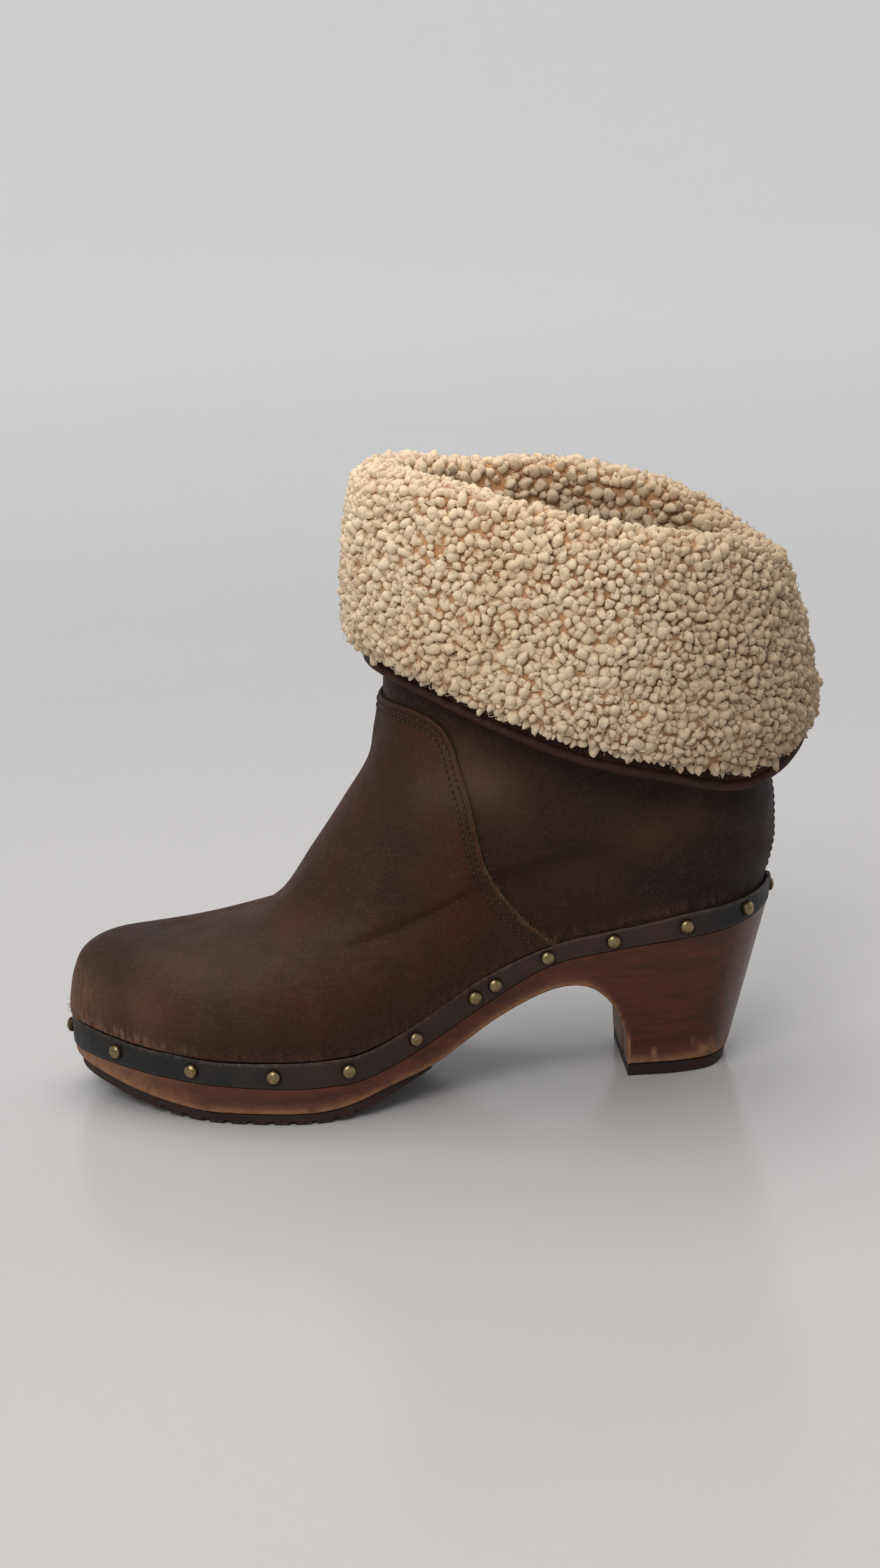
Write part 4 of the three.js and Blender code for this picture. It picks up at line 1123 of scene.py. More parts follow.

# %% [markdown]
# ## The rand and its studs
# The rand is a strip of leather round the sole's edge. Its section is a rounded oblong, carried round the
# stations, and it is pressed in a little round each stud. The studs are domed nail heads: one profile turned
# round its axis, set square on the strip at listed shares of the length.


# %% The rand
def stud_spots():
    """Each stud's place on the rand's face and the way it points, from its share of the length."""
    outer = [0.0, *OUTER_STUDS, 1.0]
    stations = [angle_of(share) / np.pi * PAIRS for share in outer]
    stations += [COUNT - angle_of(share) / np.pi * PAIRS for share in INNER_STUDS[::-1]]
    stations = np.array(stations, float)
    face = np.full(len(stations), -RAND_PROUD)
    spot = outline(stations, face)
    ahead = outline(stations + 0.5, face) - outline(stations - 0.5, face)
    ahead = unit(ahead)
    z = mix(low_z(spot[:, 1]), feather_z(spot[:, 1]), 0.5)
    outward = np.stack([ahead[:, 1], -ahead[:, 0], np.zeros(len(z))], -1)
    return np.column_stack([spot, z]), outward


STUD_POINTS, STUD_WAYS = stud_spots()
RAND_COLUMNS = 400
section_angles = np.linspace(0, 2 * np.pi, 28, endpoint=False)


def rand_section(angle):
    """The strip's section, a rounded oblong: its inset from the sole's edge and its share of the height."""
    side = np.sign(np.cos(angle)) * np.abs(np.cos(angle)) ** 0.45
    rise = np.sign(np.sin(angle)) * np.abs(np.sin(angle)) ** 0.45
    inner = RAND_THICKNESS - RAND_PROUD
    return mix(inner, -RAND_PROUD, (side + 1) / 2), (rise + 1) / 2


rand_stations = stations_round(RAND_COLUMNS)
inset, rise = rand_section(section_angles)
flat_point = outline(rand_stations[:, None], np.broadcast_to(inset, (RAND_COLUMNS, len(inset))))
edge_y = flat_point[..., 1]
wobble = ripple(np.stack([flat_point[..., 0], edge_y, 0 * edge_y], -1), 23, 11)
rand_z = mix(low_z(edge_y) + GAP, feather_z(edge_y) - GAP + 0.3 * wobble, rise[None, :])
rand_points = np.concatenate([flat_point, rand_z[..., None]], -1)
ends_meet = bell(rand_stations - PAIRS, 0.5)[:, None] * (rise > 0.4)
ragged = 1 + 0.5 * ripple(rand_points, 3.1, 17)
rand_points[..., 2] += 1.9 * ends_meet * ragged * rise
rand_points[..., 1] += 1.0 * ends_meet * ragged * (inset < 0)
press = sum(np.exp(-(np.linalg.norm(rand_points - spot, axis=-1) / 3.6) ** 4) for spot in STUD_POINTS)
inward = raw_outline(rand_stations) - outline(rand_stations, np.ones(RAND_COLUMNS))
rand_points[..., :2] -= (0.28 * press * (inset < 0))[..., None] * inward[:, None, :]
rand_worn = np.broadcast_to((0.6 * (rise > 0.9) + 0.2 * (rise < 0.1))[:, None], (len(rise), RAND_COLUMNS))
rand_piece = make_skin("rand_strip", rand_points.transpose(1, 0, 2), {"worn": rand_worn}, close_columns=True)
dress(rand_piece, STRIP, ["rand"])


# %% The studs
STUD_SIDES = 20
UP = np.array([0, 0, 1.0])


def stud_mesh(spots, ways):
    """A profile of radius and height turned round each stud's axis: a thin rim and a dome."""
    t = np.linspace(0, np.pi / 2, 9)
    radius = STUD_DIAMETER / 2 * np.concatenate([[0.0, 0.96, 1.02], np.cos(t) ** 0.85])
    height = np.concatenate([[-0.3, -0.3, 0.15], 0.35 + STUD_HEIGHT * np.sin(t)])
    angle = np.linspace(0, 2 * np.pi, STUD_SIDES, endpoint=False)[:, None]
    across = np.cross(ways, UP)
    ring = np.cos(angle) * across[:, None, None] + np.sin(angle) * UP
    points = spots[:, None, None] + ring * radius[:, None, None] + ways[:, None, None] * height[:, None, None]
    one = grid_faces(len(radius), STUD_SIDES, close_columns=True)
    faces = repeated(one, len(spots), len(radius) * STUD_SIDES)
    rim = np.broadcast_to(step_up(radius / STUD_DIAMETER * 2, 0.75, 1.0)[None, :, None], points.shape[:-1])
    return points, faces, rim


stud_points, stud_faces, stud_rim = stud_mesh(STUD_POINTS, STUD_WAYS)
stud_piece = make_piece("brass_studs", stud_points, stud_faces, {"rim": stud_rim}, sharp=60)
dress(stud_piece, BRASS, ["stud_%02d" % (i + 1) for i in range(len(STUD_POINTS))])

# %% [markdown]
# ## The wooden sole
# In the side view the wood's underside is one line: up from the floor at the toe, flat under the ball, a deep
# arch and straight down the heel's breast. The sides taper towards the floor. Each point of that line meets
# the outer side and the inner side at a station, which is looked up, and the ring of points at that place
# runs down one side, across underneath, up the other side and over the top. The rings from toe to heel make
# the closed block.


# %% Points on the wood's tapered sides
def tapered(station, z, inset):
    """The sole's edge at a height: it narrows evenly from the rand's lower edge down to the floor."""
    edge_y = raw_outline(station)[..., 1]
    narrowing = BALL_WIDTH * sole_value("taper", share_of(station)) * (1 - z / low_z(edge_y))
    flat = outline(station, inset + np.maximum(narrowing, 0))
    return np.concatenate([flat, np.broadcast_to(z, flat.shape[:-1])[..., None]], -1)


def station_at(y, z, side):
    """The station on one side whose tapered edge has that Y at that height, looked up in a dense table."""
    dense = np.linspace(0, PAIRS, 900)
    table = tapered(on_side(dense, side)[None, :], z[:, None], np.zeros((len(z), len(dense))))[..., 1]
    return np.array([np.interp(one, row, dense) for one, row in zip(y, table)])


ARCH_POINTS = 260
BREAST_POINTS = 8
HEEL_POINTS = 59


def underside_line():
    """The underside in the side view, as Y and Z: the table's curve, the breast and the heel's floor."""
    flat = OUTSOLE_THICKNESS + GAP
    y = y_of(UNDERSIDE[:, 0])
    z = np.maximum(SEAT_HEIGHT * UNDERSIDE[:, 1], flat)
    chord = np.concatenate([[0], np.cumsum(np.hypot(np.diff(y), np.diff(z)))])
    at = np.linspace(0, chord[-1], ARCH_POINTS)
    line = np.stack([smooth(chord, y, at), np.maximum(smooth(chord, z, at), flat)], -1)
    heel_floor = HEEL_TIP_THICKNESS + GAP
    breast_z = np.linspace(line[-1, 1], heel_floor, BREAST_POINTS + 1)[1:]
    breast = np.stack([np.full(BREAST_POINTS, line[-1, 0]), breast_z], -1)
    back = tapered(np.array([float(PAIRS)]), np.array([heel_floor]), np.zeros(1))[0, 1]
    run = np.sin(np.linspace(0, np.pi / 2, HEEL_POINTS + 1))[1:]
    floor = np.stack([mix(line[-1, 0], back, run), np.full(HEEL_POINTS, heel_floor)], -1)
    return np.concatenate([line, breast, floor]), ARCH_POINTS, ARCH_POINTS + BREAST_POINTS


side_line, breast_start, breast_end = underside_line()
toe_front = tapered(np.zeros(len(side_line)), side_line[:, 1], np.zeros(len(side_line)))[:, 1]
kept = side_line[:, 0] > toe_front + 0.01
dropped = int(np.argmax(kept))
side_line = side_line[dropped:]
breast_start -= dropped
breast_end -= dropped
TOE_FAN = 14
TIP_RISE = 0.6
first = side_line[0]
tip_z = first[1] + TIP_RISE
fan = np.sin(np.linspace(0, np.pi / 2, TOE_FAN))[:, None] ** 2
tip = np.array([tapered(np.zeros(1), np.array([tip_z]), np.zeros(1))[0, 1], tip_z])
side_line = np.concatenate([mix(tip, first, fan)[:-1], side_line])
breast_start += TOE_FAN - 1
breast_end += TOE_FAN - 1
print("underside line: %d points, arch top %.1f mm" % (len(side_line), side_line[:, 1].max()))

# %% [markdown]
# Columns on the sides run from the underside to the rand's shelf. At the heel's breast many points of the
# line share one Y, so there the columns fan out towards the shelf. The bottom edge is rounded off, as sanding
# and wear leave it.

# %% The wood's mesh
FAN_FROM = 0.6
FAN_PAST_BREAST = 25
EDGE_ROUND = 0.9
STATION_PACE = 19.2
WALL_ROWS = 16
ROUND_ROWS = 4
WEAR_REACH = 1.6


def top_stations(bottom):
    """Stations at the shelf: those of the underside, spread evenly past the heel's breast."""
    reach = np.concatenate([[0], np.cumsum(np.hypot(*np.diff(side_line, axis=0).T))])
    from_i = int(np.argmax(side_line[:, 0] > y_of(FAN_FROM)))
    to_i = min(breast_end + FAN_PAST_BREAST, len(bottom) - 1)
    share = np.clip((reach - reach[from_i]) / (reach[to_i] - reach[from_i]), 0, 1)
    spread = mix(bottom[from_i], bottom[to_i], share)
    inside = (np.arange(len(bottom)) > from_i) & (np.arange(len(bottom)) < to_i)
    return np.where(inside, spread, bottom)


def wood_side(side):
    """One side of the wood: rows from the core's top over the shelf and down the wall to the rounded edge."""
    bottom = station_at(side_line[:, 0], side_line[:, 1], side)
    bottom[0] = 0.0
    bottom[-1] = PAIRS
    top = top_stations(bottom)
    edge_y = raw_outline(on_side(top, side))[:, 1]
    shelf_z = low_z(edge_y)
    lift = np.zeros(len(bottom))
    lift[: breast_start - 1] = 1.0
    lift[breast_end:] = 1.0
    pull = 1 - lift
    pace = STATION_PACE * np.sin(np.pi * bottom / PAIRS) + 0.5
    rows = []
    for inset, z in [(CORE_INSET, feather_z(edge_y) - CORE_DROP), (CORE_INSET, shelf_z)]:
        flat = outline(on_side(top, side), np.full(len(top), inset))
        rows.append(np.column_stack([flat, z]))
    wear = [np.zeros(len(top)), np.zeros(len(top))]
    shelf_line = np.stack([top, shelf_z], -1)
    low_line = np.stack([bottom + pull * EDGE_ROUND / pace, side_line[:, 1] + lift * EDGE_ROUND], -1)
    for v in np.linspace(0, 1, WALL_ROWS):
        where = mix(shelf_line, low_line, v)
        rows.append(tapered(on_side(where[:, 0], side), where[:, 1], np.zeros(len(top))))
        height = (1 - v) * np.hypot(edge_y - side_line[:, 0], shelf_z - side_line[:, 1])
        wear.append(np.exp(-height / WEAR_REACH))
    for turn in np.linspace(0, np.pi / 2, ROUND_ROWS)[1:]:
        up = EDGE_ROUND * (1 - np.sin(turn))
        inset = np.full(len(top), EDGE_ROUND * (1 - np.cos(turn)))
        rows.append(tapered(on_side(bottom + pull * up / pace, side), side_line[:, 1] + lift * up, inset))
        wear.append(np.ones(len(top)))
    return np.array(rows), np.array(wear)


def rows_between(start, end, count):
    """Rows of points from one row to another: count of them with the two themselves, which are left out."""
    return mix(start[None], end[None], np.linspace(0, 1, count)[1:-1, None, None])


def rings_of(outer, inner, under_count, over_count):
    """Down the outer side, across underneath, up the inner side and back over the top."""
    under = rows_between(outer[-1], inner[-1], under_count)
    over = rows_between(inner[0], outer[0], over_count)
    return np.concatenate([outer, under, inner[::-1], over])


WOOD_UNDER = 14
WOOD_OVER = 6
outer_side, outer_wear = wood_side(1)
inner_side, inner_wear = wood_side(-1)
wood_rows = rings_of(outer_side, inner_side, WOOD_UNDER, WOOD_OVER)
ARCH_END_POINTS = 45
under_wear = np.where(np.arange(len(side_line)) > breast_start - ARCH_END_POINTS, 0.55, 0.3)
wood_wear = np.concatenate([
    outer_wear,
    np.broadcast_to(under_wear, (WOOD_UNDER - 2, len(side_line))),
    inner_wear[::-1],
    np.zeros((WOOD_OVER - 2, len(side_line))),
])

# %% [markdown]
# Wear on the wood is placed one by one: the toe is rubbed pale, small chips are knocked out above the heel's
# tip, and a dark crack runs up the breast.

# %% Wear on the wood
CHIPS = [([21, 6, 9], 2.8), ([20, 9, 11], 2.0), ([22, 1, 12], 1.3), ([24, -14, 9], 1.1), ([-22, 4, 9], 2.2)]


def chip_marks(points):
    """1 inside each chip and 0 outside, with a soft edge."""
    squash = np.array([0.6, 1, 1])
    marks = [
        np.exp(-(np.linalg.norm((points - np.array(spot)) * squash, axis=-1) / size) ** 4)
        for spot, size in CHIPS
    ]
    return np.max(marks, axis=0)


toe_rub = step_up(-wood_rows[..., 1], 180, 228) * 0.75
crack_line = bell(wood_rows[..., 0] - 9 - 0.05 * wood_rows[..., 2], 0.9)
on_breast = (np.abs(wood_rows[..., 1] - side_line[breast_start + 2, 0]) < 6) & (wood_rows[..., 2] < 44)
in_arch = np.zeros(wood_rows.shape[:2])
in_arch[len(outer_side) : len(outer_side) + WOOD_UNDER - 2] = 1
crack = crack_line * on_breast * in_arch
wood_rows[..., 1] += 0.8 * crack
wood_values = {
    "worn": np.clip(wood_wear + toe_rub + chip_marks(wood_rows), 0, 1),
    "crack_dark": np.clip(crack, 0, 1),
}
wood_piece = make_skin("wooden_sole", wood_rows, wood_values, sharp=50)
dress(wood_piece, WOOD, ["wood_sole"])

# %% [markdown]
# ## Rubber underneath
# The outsole is a sheet that follows the wood's underside, with small notches cut along its lower edge for
# grip. The heel's tip is a thicker block, cut square in front. Both are rings of points across the sole, from
# front to back.

# %% The outsole
NOTCH_WIDTH = 2.4
NOTCH_HEIGHT = 1.4
NOTCH_DEPTH = 1.8
NOTCH_PITCH = 8.0
NOTCH_STEP = 0.02
OUTSOLE_INSET = 0.4
TABLE_POINTS = 1200


def floor_edge(y, side, z, inset):
    """The X of the tapered edge at each Y, read from a dense table of stations."""
    stations = on_side(np.linspace(0, PAIRS, TABLE_POINTS), side)
    table = tapered(stations, np.full(TABLE_POINTS, z), np.full(TABLE_POINTS, inset))
    return np.interp(y, table[:, 1], table[:, 0])


def outsole_rings():
    """Rings across the rubber: top and bottom follow the wood, and in a notch the lower edge steps in."""
    toe = tapered(np.zeros(1), np.zeros(1), np.full(1, OUTSOLE_INSET))[0, 1]
    end = y_of(OUTSOLE_END)
    plain = toe + (end - toe) * (1 - np.cos(np.linspace(0, np.pi / 2, 170)))
    starts = np.arange(y_of(0.1), y_of(0.4), NOTCH_PITCH) - NOTCH_WIDTH / 2
    steps = [start + step for start in (starts, starts + NOTCH_WIDTH) for step in (-NOTCH_STEP, NOTCH_STEP)]
    y = np.sort(np.concatenate([plain, *steps]))
    notched = ((y[:, None] > starts) & (y[:, None] < starts + NOTCH_WIDTH)).any(1) * NOTCH_DEPTH
    top = np.interp(y, side_line[:breast_start, 0], side_line[:breast_start, 1]) - GAP
    thin = np.clip((y - y_of(OUTSOLE_THINS_FROM)) / (end - y_of(OUTSOLE_THINS_FROM)), 0, 1)
    bottom = np.maximum(top - OUTSOLE_THICKNESS * mix(1, 1 / 3, thin), 0)
    step = np.minimum(NOTCH_HEIGHT, 0.6 * (top - bottom))
    sides = []
    for side in (1, -1):
        x = floor_edge(y, side, 0.0, OUTSOLE_INSET)
        cut = x - side * np.minimum(notched, np.abs(x) * 0.5)
        corners = [
            (x - side * 0.5, top),
            (x, top),
            (x, bottom + step),
            (cut, bottom + step),
            (cut, bottom + 0.3),
            (cut - side * 0.4, bottom),
        ]
        sides.append(np.array([np.column_stack([x_row, y, z_row]) for x_row, z_row in corners]))
    return rings_of(*sides, under_count=8, over_count=5)


def with_end_caps(rings, at_start, at_end):
    """Closes a run of rings: an added ring at an end has every point moved to the middle line."""
    parts = [rings]
    if at_start:
        parts.insert(0, rings[:, :1] * [0, 1, 1])
    if at_end:
        parts.append(rings[:, -1:] * [0, 1, 1])
    return np.concatenate(parts, axis=1)


outsole = with_end_caps(outsole_rings(), False, True)
outsole_piece = make_skin("outsole_rubber", outsole, sharp=35)
dress(outsole_piece, RUBBER, ["outsole"])


# %% The heel's tip
TIP_COLUMNS = 70
TIP_SECTION = [
    # height, inset
    (HEEL_TIP_THICKNESS, 0.8),
    (HEEL_TIP_THICKNESS - 0.2, 0.3),
    (1.0, 0.3),
    (0.3, 0.5),
    (0.0, 1.2),
]


def heel_tip_rings():
    """Rings across the heel's tip: straight sides, a rounded lower edge and a flat bottom."""
    front = side_line[breast_start + 3, 0] + 0.3
    sides = []
    for side in (1, -1):
        start = station_at(np.array([front]), np.zeros(1), side)[0]
        run = on_side(np.linspace(start, PAIRS, TIP_COLUMNS), side)
        even = np.ones(TIP_COLUMNS)
        rows = np.array([tapered(run, z * even, inset * even) for z, inset in TIP_SECTION])
        rows[:, 0, 1] = front
        sides.append(rows)
    return rings_of(*sides, under_count=8, over_count=4)


heel_tip = with_end_caps(heel_tip_rings(), True, False)
tip_piece = make_skin("heel_tip_rubber", heel_tip, sharp=35)
dress(tip_piece, RUBBER, ["heel_tip"])

# %% [markdown]
# ## The cuff's leather
# The collar's leather goes over the shaft's top edge, flares out and ends in a rolled edge. Its section is
# the CAD section with its corners cut twice, which rounds them, and it is carried round the shaft.


# %% The turned-down collar
def collar_point(station, out, z):
    """A point at a distance out from the shaft's top edge in plan, at a height."""
    ahead = upper_point(station + 0.25, TOP_RING) - upper_point(station - 0.25, TOP_RING)
    ahead[..., 2] = 0
    ahead = unit(ahead)
    edge = upper_point(station, TOP_RING)
    return np.stack([edge[..., 0] + ahead[..., 1] * out, edge[..., 1] - ahead[..., 0] * out, z], -1)


def cuff_at(station):
    """Heights and distances of the cuff at each station."""
    around = share_of(station)
    shaft_z = upper_point(station, TOP_RING)[..., 2]
    edge_z = mix(CUFF_EDGE_FRONT, CUFF_EDGE_BACK, cuff_value("edge", around))
    return {
        "edge": edge_z,
        "stand": SHAFT_WIDTH * cuff_value("stand", around),
        "pile": WOOL * cuff_value("pile", around),
        "shaft": shaft_z,
        "fold": shaft_z + GAP + LEATHER,
    }


def cut_corners(section):
    """A closed line with each corner replaced by two points, a quarter of the way along its edges."""
    after = np.roll(section, -1, axis=0)
    return np.stack([mix(section, after, 0.25), mix(section, after, 0.75)], 1).reshape(-1, *section.shape[1:])


collar_stations = stations_round(240)
cuff = cuff_at(collar_stations)
half = mix(cuff["fold"], cuff["edge"], 0.5)
flare = mix(FOLD_STAND, cuff["stand"], 0.6)
corners = [
    (cuff["stand"] + LEATHER, cuff["edge"]),
    (cuff["stand"] + LEATHER + ROLL_OUT, cuff["edge"] + 0.25 * ROLL_HEIGHT),
    (cuff["stand"] + LEATHER + ROLL_OUT, cuff["edge"] + 0.75 * ROLL_HEIGHT),
    (cuff["stand"] + LEATHER, cuff["edge"] + ROLL_HEIGHT),
    (flare + LEATHER, half),
    (FOLD_STAND + LEATHER, cuff["fold"] - 2 * LEATHER),
    (FOLD_STAND, cuff["fold"]),
    (-LEATHER, cuff["fold"]),
    (-LEATHER, cuff["shaft"] + GAP),
    (GAP, cuff["shaft"] + GAP),
    (FOLD_STAND, cuff["shaft"] - LEATHER),
    (flare, half),
    (cuff["stand"], cuff["edge"] + 0.5 * ROLL_HEIGHT),
]
leather_section = np.array([np.stack(np.broadcast_arrays(*corner), -1) for corner in corners])
rounded_section = cut_corners(cut_corners(leather_section))
collar = collar_point(collar_stations[None, :], rounded_section[..., 0], rounded_section[..., 1])
collar += 0.35 * ripple(collar, 31, 5)[..., None] * [0, 0, 1]
collar_values = {name: np.zeros(collar.shape[:2]) for name in ("dark", "worn", "pale", "raw")}
cuff_piece = make_skin("cuff_leather", collar, collar_values, close_columns=True)
dress(cuff_piece, CUFF_LEATHER, ["cuff"])

# %% [markdown]
# ## The shearling
# Wool could be hair, but hair doesn't export, and this wool lies in small round curls. So a body of wool
# follows the collar's leather, and thousands of beads stand in it, each a small ball pulled out of round,
# with the darker body between them, coloured partly as the wool's browner roots and partly as painted shade.
# Spots for the beads fall at random but keep their distance, as curls do.


# %% The wool's body
ON_CUFF = LEATHER + GAP
LINING = -LEATHER - GAP
BODY_SHARE = 0.75


def wool_rows(stations, share):
    """Rows from the hem up the outside, over the fold and down inside the shaft. share scales the depth."""
    cuff = cuff_at(stations)
    hem = cuff["edge"] + ROLL_HEIGHT + HEM_RISE
    deep = share * cuff["pile"]
    half_fold = cuff["fold"] + share * 0.5 * WOOL_OVER_FOLD
    outside = [
        (cuff["stand"] + ON_CUFF + 0.55 * deep, hem),
        (cuff["stand"] + ON_CUFF + 0.95 * deep, hem + 3.5),
        (cuff["stand"] + ON_CUFF + deep, mix(cuff["edge"], cuff["fold"], 0.3)),
        (mix(FOLD_STAND, cuff["stand"], 0.75) + ON_CUFF + deep, mix(cuff["edge"], cuff["fold"], 0.5)),
        (mix(FOLD_STAND, cuff["stand"], 0.55) + ON_CUFF + 0.9 * deep, mix(cuff["edge"], cuff["fold"], 0.7)),
        (mix(FOLD_STAND, cuff["stand"], 0.3) + ON_CUFF + 0.75 * deep, mix(cuff["edge"], cuff["fold"], 0.87)),
        (FOLD_STAND + ON_CUFF + 0.35 * deep, half_fold),
        (0.0, cuff["fold"] + share * WOOL_OVER_FOLD),
        (LINING - 0.7 * share * WOOL_INSIDE, half_fold),
    ]
    rows = [collar_point(stations, out, z) for out, z in outside]
    for ring in [15.6, 15, 14, 13, 12]:
        inward = upper_normal(stations, np.full(len(stations), ring)) * (LINING - share * WOOL_INSIDE)
        rows.append(upper_point(stations, ring) + inward)
    return np.array(rows)


def wool_backing(stations):
    """Rows of points on the leather, from the lining's lower end back to the hem."""
    cuff = cuff_at(stations)
    rows = []
    for ring in [12, 13, 14, 15, 16]:
        inward = upper_normal(stations, np.full(len(stations), float(ring))) * LINING
        rows.append(upper_point(stations, ring) + inward)
    for out, z in [
        (LINING, cuff["fold"] + GAP),
        (FOLD_STAND + GAP, cuff["fold"] + GAP),
        (FOLD_STAND + ON_CUFF, cuff["fold"] - 2 * LEATHER + GAP),
        (mix(FOLD_STAND, cuff["stand"], 0.6) + ON_CUFF, mix(cuff["fold"], cuff["edge"], 0.5)),
        (cuff["stand"] + ON_CUFF, cuff["edge"] + ROLL_HEIGHT + HEM_RISE),
    ]:
        rows.append(collar_point(stations, out, z))
    return np.array(rows)


body_skin = through(wool_rows(collar_stations, BODY_SHARE), np.linspace(0, 13, 80))
body_skin = body_skin + 0.4 * ripple(body_skin, 9, 21)[..., None]
wool_body = np.concatenate([body_skin, wool_backing(collar_stations)])


WELL_HALF_WIDTH = 40
WELL_HALF_LENGTH = 66
WELL_MIDDLE_Y = -38


def wool_shade(points):
    """Painted shade on the wool: greyer towards the back of the cuff and down inside the shaft."""
    rear = step_up(points[..., 1], -60, 40)
    low = step_up(upper_point(0.0, TOP_RING)[2] - points[..., 2], 0, 80)
    in_plan = np.hypot(points[..., 0] / WELL_HALF_WIDTH, (points[..., 1] - WELL_MIDDLE_Y) / WELL_HALF_LENGTH)
    inside = 1 - step_up(in_plan, 0.85, 1.02)
    return np.clip(0.7 * rear + 0.15 * low + 0.45 * inside, 0, 1)


# The body takes the roots' colour: partly the wool's own browner roots, partly painted shade between the
# beads.
body_values = {"tip": np.full(wool_body.shape[:2], 0.12), "wool_shade": wool_shade(wool_body)}
body_piece = make_skin("wool_body", wool_body, body_values, close_columns=True)
dress(body_piece, WOOL_FINISH, ["shearling"])


# %% Spots for the beads
def surface_normals(grid):
    """Normals of a closed band of points: the way round crossed with the way along."""
    round_way = np.roll(grid, -1, axis=1) - np.roll(grid, 1, axis=1)
    up_way = np.gradient(grid, axis=0)
    normal = np.cross(round_way, up_way)
    return normal / (np.linalg.norm(normal, axis=-1, keepdims=True) + 1e-9)


def scattered_spots(grid, spacing, tries, seed):
    """Spots on a band of points that keep their distance. Candidates fall evenly by area, and one is kept if
    no kept one is nearer than spacing times its own size. Each depends on those before it, hence the loop.
    """
    rng = np.random.default_rng(seed)
    normals = surface_normals(grid)
    here, right = grid[:-1], np.roll(grid, -1, axis=1)[:-1]
    above, beyond = grid[1:], np.roll(grid, -1, axis=1)[1:]
    area = np.linalg.norm(np.cross(beyond - here, above - right), axis=-1) / 2
    cell = rng.choice(area.size, tries, p=(area / area.sum()).ravel())
    row, column = np.unravel_index(cell, area.shape)
    u, v = rng.random((2, tries, 1))
    low = mix(here[row, column], right[row, column], u)
    high = mix(above[row, column], beyond[row, column], u)
    spots = mix(low, high, v)
    sizes = (1.32 - 0.62 * np.linspace(0, 1, tries) ** 0.4) * rng.uniform(0.92, 1.08, tries)
    kept = []
    kept_spots = np.zeros((tries, 3))
    for i in range(tries):
        gap = spacing * sizes[i]
        if not kept or ((kept_spots[: len(kept)] - spots[i]) ** 2).sum(1).min() > gap * gap:
            kept_spots[len(kept)] = spots[i]
            kept.append(i)
    up = (row[kept] + v[kept, 0]) / (len(grid) - 1)
    return spots[kept], normals[row[kept], column[kept]], sizes[kept], up


def bead_shape():
    """A ball whose hidden underside, below the wool's skin, is gathered into one point to save faces."""
    ball, faces = ball_mesh(2)
    below = ball[:, 2] < -0.5
    new_number = np.cumsum(~below) - 1
    new_number[below] = (~below).sum()
    gathered = new_number[faces]
    flat = (gathered == np.roll(gathered, 1, axis=1)).any(axis=1)
    return np.vstack([ball[~below], [[0, 0, -0.7]]]), gathered[~flat]


def bead_mesh(spots, normals, sizes, hang, radius, seed):
    """Beads of wool: balls stretched along their own axis, narrowed at the root, bent over and dented by
    waves. hang turns the axis down at the hem.
    """
    rng = np.random.default_rng(seed)
    ball, faces = bead_shape()
    n = len(spots)
    axis = normals + rng.normal(0, 0.4, (n, 3)) + hang[:, None] * np.array([0, 0, -0.9])
    axis = unit(axis)
    side = np.cross(axis, rng.normal(0, 1, (n, 3)))
    side = unit(side)
    other = np.cross(axis, side)
    reach = radius * sizes * rng.uniform(0.95, 1.4, n) * (1 + 0.25 * hang)
    broad = radius * sizes * rng.uniform(0.82, 1.1, n) * (1 - 0.2 * hang)
    thin = radius * sizes * rng.uniform(0.72, 1.0, n) * (1 - 0.2 * hang)
    height = ball[:, 2]
    taper = 1 - 0.18 * (1 - height) / 2
    waves = rng.normal(0, 1, (n, 3, 3)) * 2.6
    phase = rng.uniform(0, 2 * np.pi, (n, 3))
    dents = 1 + 0.15 * np.sin(np.einsum("nkc,vc->nvk", waves, ball) + phase[:, None, :]).sum(-1)
    bend = rng.uniform(-0.35, 0.35, (n, 1)) * (height[None] + 1) ** 2 * radius * 0.5
    along_side = ball[None, :, 0] * taper * broad[:, None] * dents + bend
    along_other = ball[None, :, 1] * taper * thin[:, None] * dents
    along_axis = height[None] * reach[:, None] * dents
    points = (
        spots[:, None]
        + along_side[..., None] * side[:, None]
        + along_other[..., None] * other[:, None]
        + along_axis[..., None] * axis[:, None]
    )
    outward = ((points - spots[:, None]) * normals[:, None]).sum(-1) / radius
    return points, repeated(faces, n, len(ball)), outward


# %% Beads at the hem, outside and inside
def wool_beads(name, grid, spacing, radius, tries, seed, hem_rows=0.0):
    """One piece of wool beads on a band of the skin. Beads near the hem are finer and hang down."""
    spots, normals, sizes, up = scattered_spots(grid, spacing, tries, seed)
    hang = 1 - step_up(up, 0.0, hem_rows) if hem_rows else np.zeros(len(spots))
    points, faces, outward = bead_mesh(spots, normals, sizes, hang, radius, seed + 1)
    # tip is low at a bead's root: the browner root is partly the wool's own colour and partly painted shade.
    values = {"tip": 0.25 + 0.75 * step_up(outward, -0.6, 1.2), "wool_shade": wool_shade(points)}
    dress(make_piece(name, points, faces, values, sharp=180), WOOL_FINISH)
    print(name, "beads", len(spots))


bead_skin = through(wool_rows(collar_stations, 0.74), np.linspace(0, 13, 110))
wool_beads("wool_hem", bead_skin[:25], spacing=2.6, radius=2.1, tries=20000, seed=31, hem_rows=0.3)
wool_beads("wool_outside", bead_skin[24:66], spacing=2.65, radius=2.2, tries=24000, seed=35)
wool_beads("wool_inside", bead_skin[65:], spacing=3.4, radius=2.55, tries=16000, seed=41)


# %% [markdown]
# Fine wisps stand out of the curls and soften the wool's outline. They are thin hooked tubes, set on the same
# skin.

